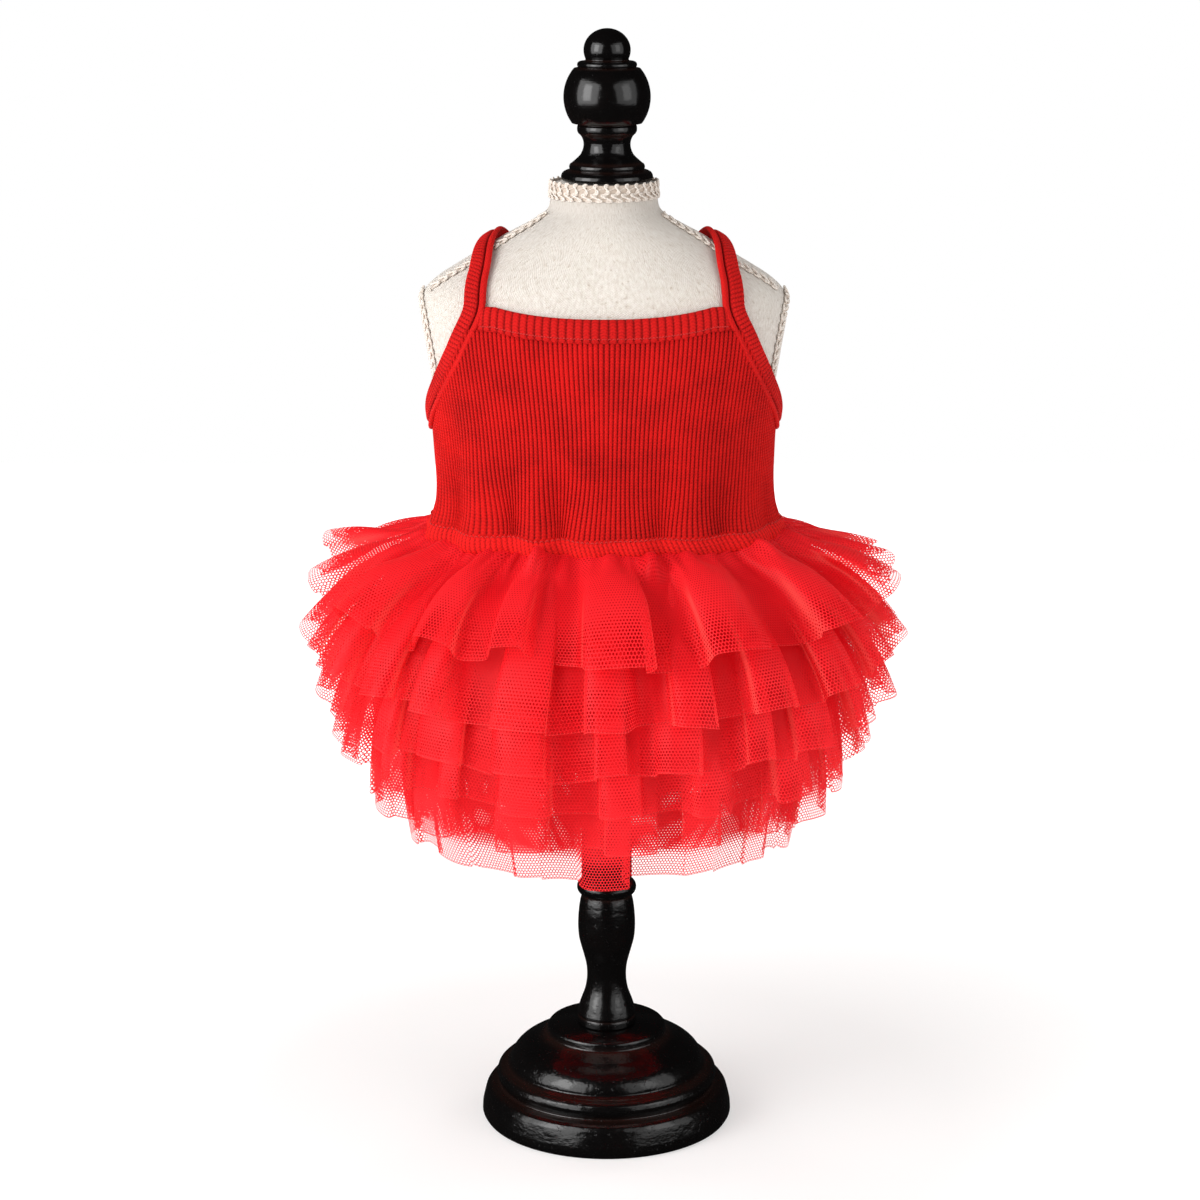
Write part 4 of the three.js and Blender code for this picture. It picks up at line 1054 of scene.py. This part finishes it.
def frill(number):
    """The hem is a row of faces, by turns out and in, that meet at folds. With phase = 0 in the middle
    of an outer face and π in the middle of the next inner one: out = depth·cos(phase), flattened, and
    along = turn + width·(B sin(2·phase) + D cos(phase)). B tucks the wall between two faces under,
    and D leans the whole fold to one side. All of it grows from small pleats at the gathers."""
    rng = np.random.default_rng(71 + number)
    hem_out, hem_height, _, _, depth, faces = FRILLS[number]
    w = np.arange(faces * PER_FACE)[None, :] / PER_FACE  # a fold at every whole number
    s = (np.linspace(0, 1, ROWS) ** 0.9)[:, None]  # from head to hem
    phase = np.pi * (w - 0.5)

    def each(low, high, values=None, blend=0.3):
        """A number for every face, steady across its middle and blended near its folds."""
        values = rng.uniform(low, high, faces) if values is None else values
        i = np.floor(w - 0.5).astype(int)
        t = smoothstep((w - 0.5) % 1, 0.5 - blend, 0.5 + blend)
        return values[i % faces] * (1 - t) + values[(i + 1) % faces] * t

    widths = rng.uniform(0.62, 1.4, faces)
    drops = rng.uniform(-2.2, 2.2, faces)
    if number == 0:
        hand = len(FRONT_FACES)
        widths[:hand] = FRONT_FACES
        widths[hand:] *= (360 - sum(FRONT_FACES)) / widths[hand:].sum()
        drops[:hand] = FRONT_DROPS
    widths = widths / widths.sum() * 360
    at_hem = np.interp(w, np.arange(faces + 1), np.concatenate([[0], np.cumsum(widths)]))
    at_root = at_hem + each(-2.6, 2.6, blend=0.5)
    turn = FIRST_FOLD[number] + at_root + (at_hem - at_root) * s
    width = np.interp(w, np.arange(faces) + 0.5, widths, period=faces)

    fall_length = np.hypot(hem_out - roots[number][0], hem_height - roots[number][1])
    aslant = each(-1.0, 1.0) * np.sin(np.pi * (w - np.floor(w) - 0.5)) * 1.6
    fall = s * (1 + (each(0, 0, drops) + aslant) * s**2 / fall_length)
    out, z, run, drop = fall_line(number, turn, fall)
    z = z + 3.4 * (1 - smoothstep(s, 0.0, 0.16))
    dip = np.minimum(dress_inner(turn, WAIST_LOW) - ease_at(WAIST_LOW)[0], 0)  # the waist's troughs
    out = out + dip * (1 - smoothstep(s, 0.02, 0.16))
    for centre, reach, lift in FLARES.get(number, ()):
        z = z + lift * s**2 * np.exp(-(((turn - centre + 180) % 360 - 180) / reach) ** 2)
    spread = np.clip(width / 360 * faces, 0.6, 1.25)
    height = depth * (0.05 + 0.95 * s**0.8) * each(0.75, 1.2, blend=0.5) * spread
    bow = np.cos(phase) * (1.2 - 0.2 * np.cos(phase) ** 2)
    at_head = smoothstep(s, 0, 0.04) * (1 - smoothstep(s, 0.1, 0.5))
    pleat = 0.7 * np.cos(4 * np.pi * w + each(-1, 1)) * at_head
    crumple = (0.7 * np.sin(2 * phase + 7 * s + each(0, 6, blend=0.5)) * s * (1 - s) * 2
               + 0.9 * each(-1, 1) * np.sin(np.pi * s * 2) + 0.5 * each(-1, 1) * s**2 * np.sin(3 * phase))
    wave = height * bow + pleat + crumple
    if number == 0:
        puffs = np.array([PUFFS.get(face, 0.4) for face in range(faces)])
        rides = each(0, 0, puffs) * np.abs(np.cos(phase))
        wave = wave + rides * np.exp(-(((s - 0.15) / 0.10) ** 2))
        z = z + 0.6 * rides * np.exp(-(((s - 0.10) / 0.08) ** 2))
    out, z = out - drop * wave, z + run * wave
    a = np.radians(turn)
    half_width, half_depth = WAIST_HALF_WIDTH + out, WAIST_HALF_DEPTH + out
    radius = np.hypot(half_width * np.cos(a), half_depth * np.sin(a))
    slide = each(0.06, 0.22, blend=0.5) * np.sin(2 * phase) + each(-0.2, 0.2, blend=0.5) * np.cos(phase)
    slide = slide * np.radians(width) * smoothstep(s, 0.0, 0.6)
    slide = slide + (0.4 / radius * np.sin(8 * np.pi * w) * (1 - smoothstep(s, 0.1, 0.5))
                     * smoothstep(s, 0, 0.05))
    a = a + slide
    points = np.stack([AXIS_X + half_width * np.sin(a), -half_depth * np.cos(a), z], -1)
    step = np.linalg.norm(np.diff(points, axis=0), axis=-1)
    pace = np.linalg.norm(np.roll(points[-9], -1, 0) - points[-9], axis=-1)
    u = np.concatenate([[0], np.cumsum(pace)])[None, :]
    down = np.concatenate([[0], np.cumsum(step.mean(1))])[:, None]
    from_hem = down[-1:] - down + 0 * w
    near, full, most = CROWDED[number]
    crowd = smoothstep(from_hem, near, full) * most
    across = unit(np.roll(points, -1, 1) - np.roll(points, 1, 1))
    level_way = unit(np.stack([half_width * np.cos(a), half_depth * np.sin(a), 0 * a], -1))
    edge_on = (across * level_way).sum(-1)
    # fold marks where the net is seen edge-on: the net finish makes it denser there, and paints it paler as a
    # painted highlight
    fold = np.exp(-((edge_on / 0.25) ** 2)) * smoothstep(s, 0.06, 0.3)
    # painted shade: the inner faces, the gathers at the head and, below the top frill, the band under the tier
    # above are painted darker
    inner_face = np.clip(0.15 - 0.75 * np.cos(phase), 0, 1) * smoothstep(s, 0.0, 0.25)
    trough_shade = inner_face + 0.35 * (1 - smoothstep(s, 0.0, 0.22))
    if number:
        trough_shade = trough_shade + 0.42 * smoothstep(from_hem, 9, 22)  # shaded by the tier above
    strip = grid(points, around=True, cloth=(u, down), marks={
        "crowd": crowd, "from_hem": from_hem, "fold": fold, "trough_shade": trough_shade})
    made = build(f"net_frill_{number + 1}", [strip], net, [f"frill_{number + 1}"], (0, 0, 290))


for number in range(len(FRILLS)):
    frill(number)


# %% [markdown]
# ## Floor and light
#
# A pale floor and two big soft lamps, one on each side in front, the left one stronger. Each has
# a smaller lamp before it, so that its reflection in the lacquer is brighter in the middle, as a
# photographer's soft box is. Weaker lamps above and behind fill the shadows, and the lacquer does not
# mirror them. The world is white to the camera and dimmer to the rest, so that the lacquer stays
# black between the lamps. The floor glows more the further it is from the foot, so that it runs
# into the white room without an edge and still takes the foot's shadow.

# %% Floor
def floor():
    """A flat square of 3 m just under the foot. Its glow rises evenly from 0.16 m to 0.66 m away."""
    f = Finish("pale_floor")
    place = f.wire("ShaderNodeTexCoord", output="Object")
    tone = f.noise(place, 3, 2.0)
    away = f.wire("ShaderNodeVectorMath", {"operation": "LENGTH"}, {0: place}, output="Value")
    far = ((away - 0.16) / 0.50).held()
    glow = f.blend(far, (0.47, 0.465, 0.46), (1.0, 1.0, 1.0))
    colour = f.blend(tone, (0.56, 0.555, 0.55), (0.60, 0.60, 0.60))
    material = f.done(f.surface(Base_Color=colour, Roughness=0.8, Specular_IOR_Level=0.0,
                                Emission_Color=glow, Emission_Strength=1.0))
    half, low = 1.5, -0.0002
    corners = [(-half, -half, low), (half, -half, low), (half, half, low), (-half, half, low)]
    mesh = bpy.data.meshes.new("floor")
    mesh.from_pydata(corners, [], [(0, 1, 2, 3)])
    mesh.materials.append(material)
    plane = bpy.data.objects.new("floor", mesh)
    scene.collection.objects.link(plane)
    plane.visible_glossy = False


floor()


# %% Lamps and world
def lamp(name, place, target, size, power):
    """A rectangular area lamp that faces its target."""
    data = bpy.data.lights.new(name, "AREA")
    data.shape = "RECTANGLE"
    data.size, data.size_y, data.energy = size[0], size[1], power
    item = bpy.data.objects.new(name, data)
    scene.collection.objects.link(item)
    item.location = place
    ahead = np.array(target, float) - np.array(place, float)
    flat = np.hypot(ahead[0], ahead[1])
    item.rotation_euler = (np.arctan2(flat, -ahead[2]), 0, np.arctan2(ahead[1], ahead[0]) - np.pi / 2)
    return item


lamp("soft_box_left", (-1.15, -0.80, 0.72), (0, 0, 0.33), (1.7, 1.45), 21)
lamp("soft_box_left_middle", (-1.12, -0.78, 0.76), (0, 0, 0.38), (0.55, 0.9), 6)
lamp("soft_box_right", (1.15, -0.80, 0.72), (0, 0, 0.33), (1.7, 1.45), 8)
lamp("soft_box_right_middle", (1.12, -0.78, 0.76), (0, 0, 0.38), (0.55, 0.9), 2)
for fill in (lamp("overhead", (0, -0.2, 2.0), (0, 0, 0), (1.6, 1.2), 7),
             lamp("back_left", (-1.3, 1.2, 0.9), (0, 0, 0.25), (0.8, 0.9), 6),
             lamp("back_right", (1.3, 1.2, 0.9), (0, 0, 0.25), (0.8, 0.9), 6)):
    fill.visible_glossy = False  # the lacquer mirrors the soft boxes only

world = bpy.data.worlds.new("studio")
scene.world = world
world.use_nodes = True
nodes, links = world.node_tree.nodes, world.node_tree.links
nodes.clear()
path = nodes.new("ShaderNodeLightPath")


def light(colour, strength):
    """A plain room of one colour."""
    node = nodes.new("ShaderNodeBackground")
    node.inputs["Color"].default_value, node.inputs["Strength"].default_value = (*colour, 1), strength
    return node


def either(question, no, yes):
    """One room or the other, by the kind of ray that asks."""
    node = nodes.new("ShaderNodeMixShader")
    for socket, source in zip(node.inputs, (path.outputs[question], no.outputs[0], yes.outputs[0])):
        links.new(source, socket)
    return node


lit_or_mirrored = either("Is Glossy Ray", light((1, 0.99, 0.98), 0.20), light((1, 1, 1), 0.012))
room = either("Is Camera Ray", lit_or_mirrored, light((1, 1, 1), 1.0))
links.new(room.outputs[0], nodes.new("ShaderNodeOutputWorld").inputs[0])
scene.view_settings.view_transform = "Standard"
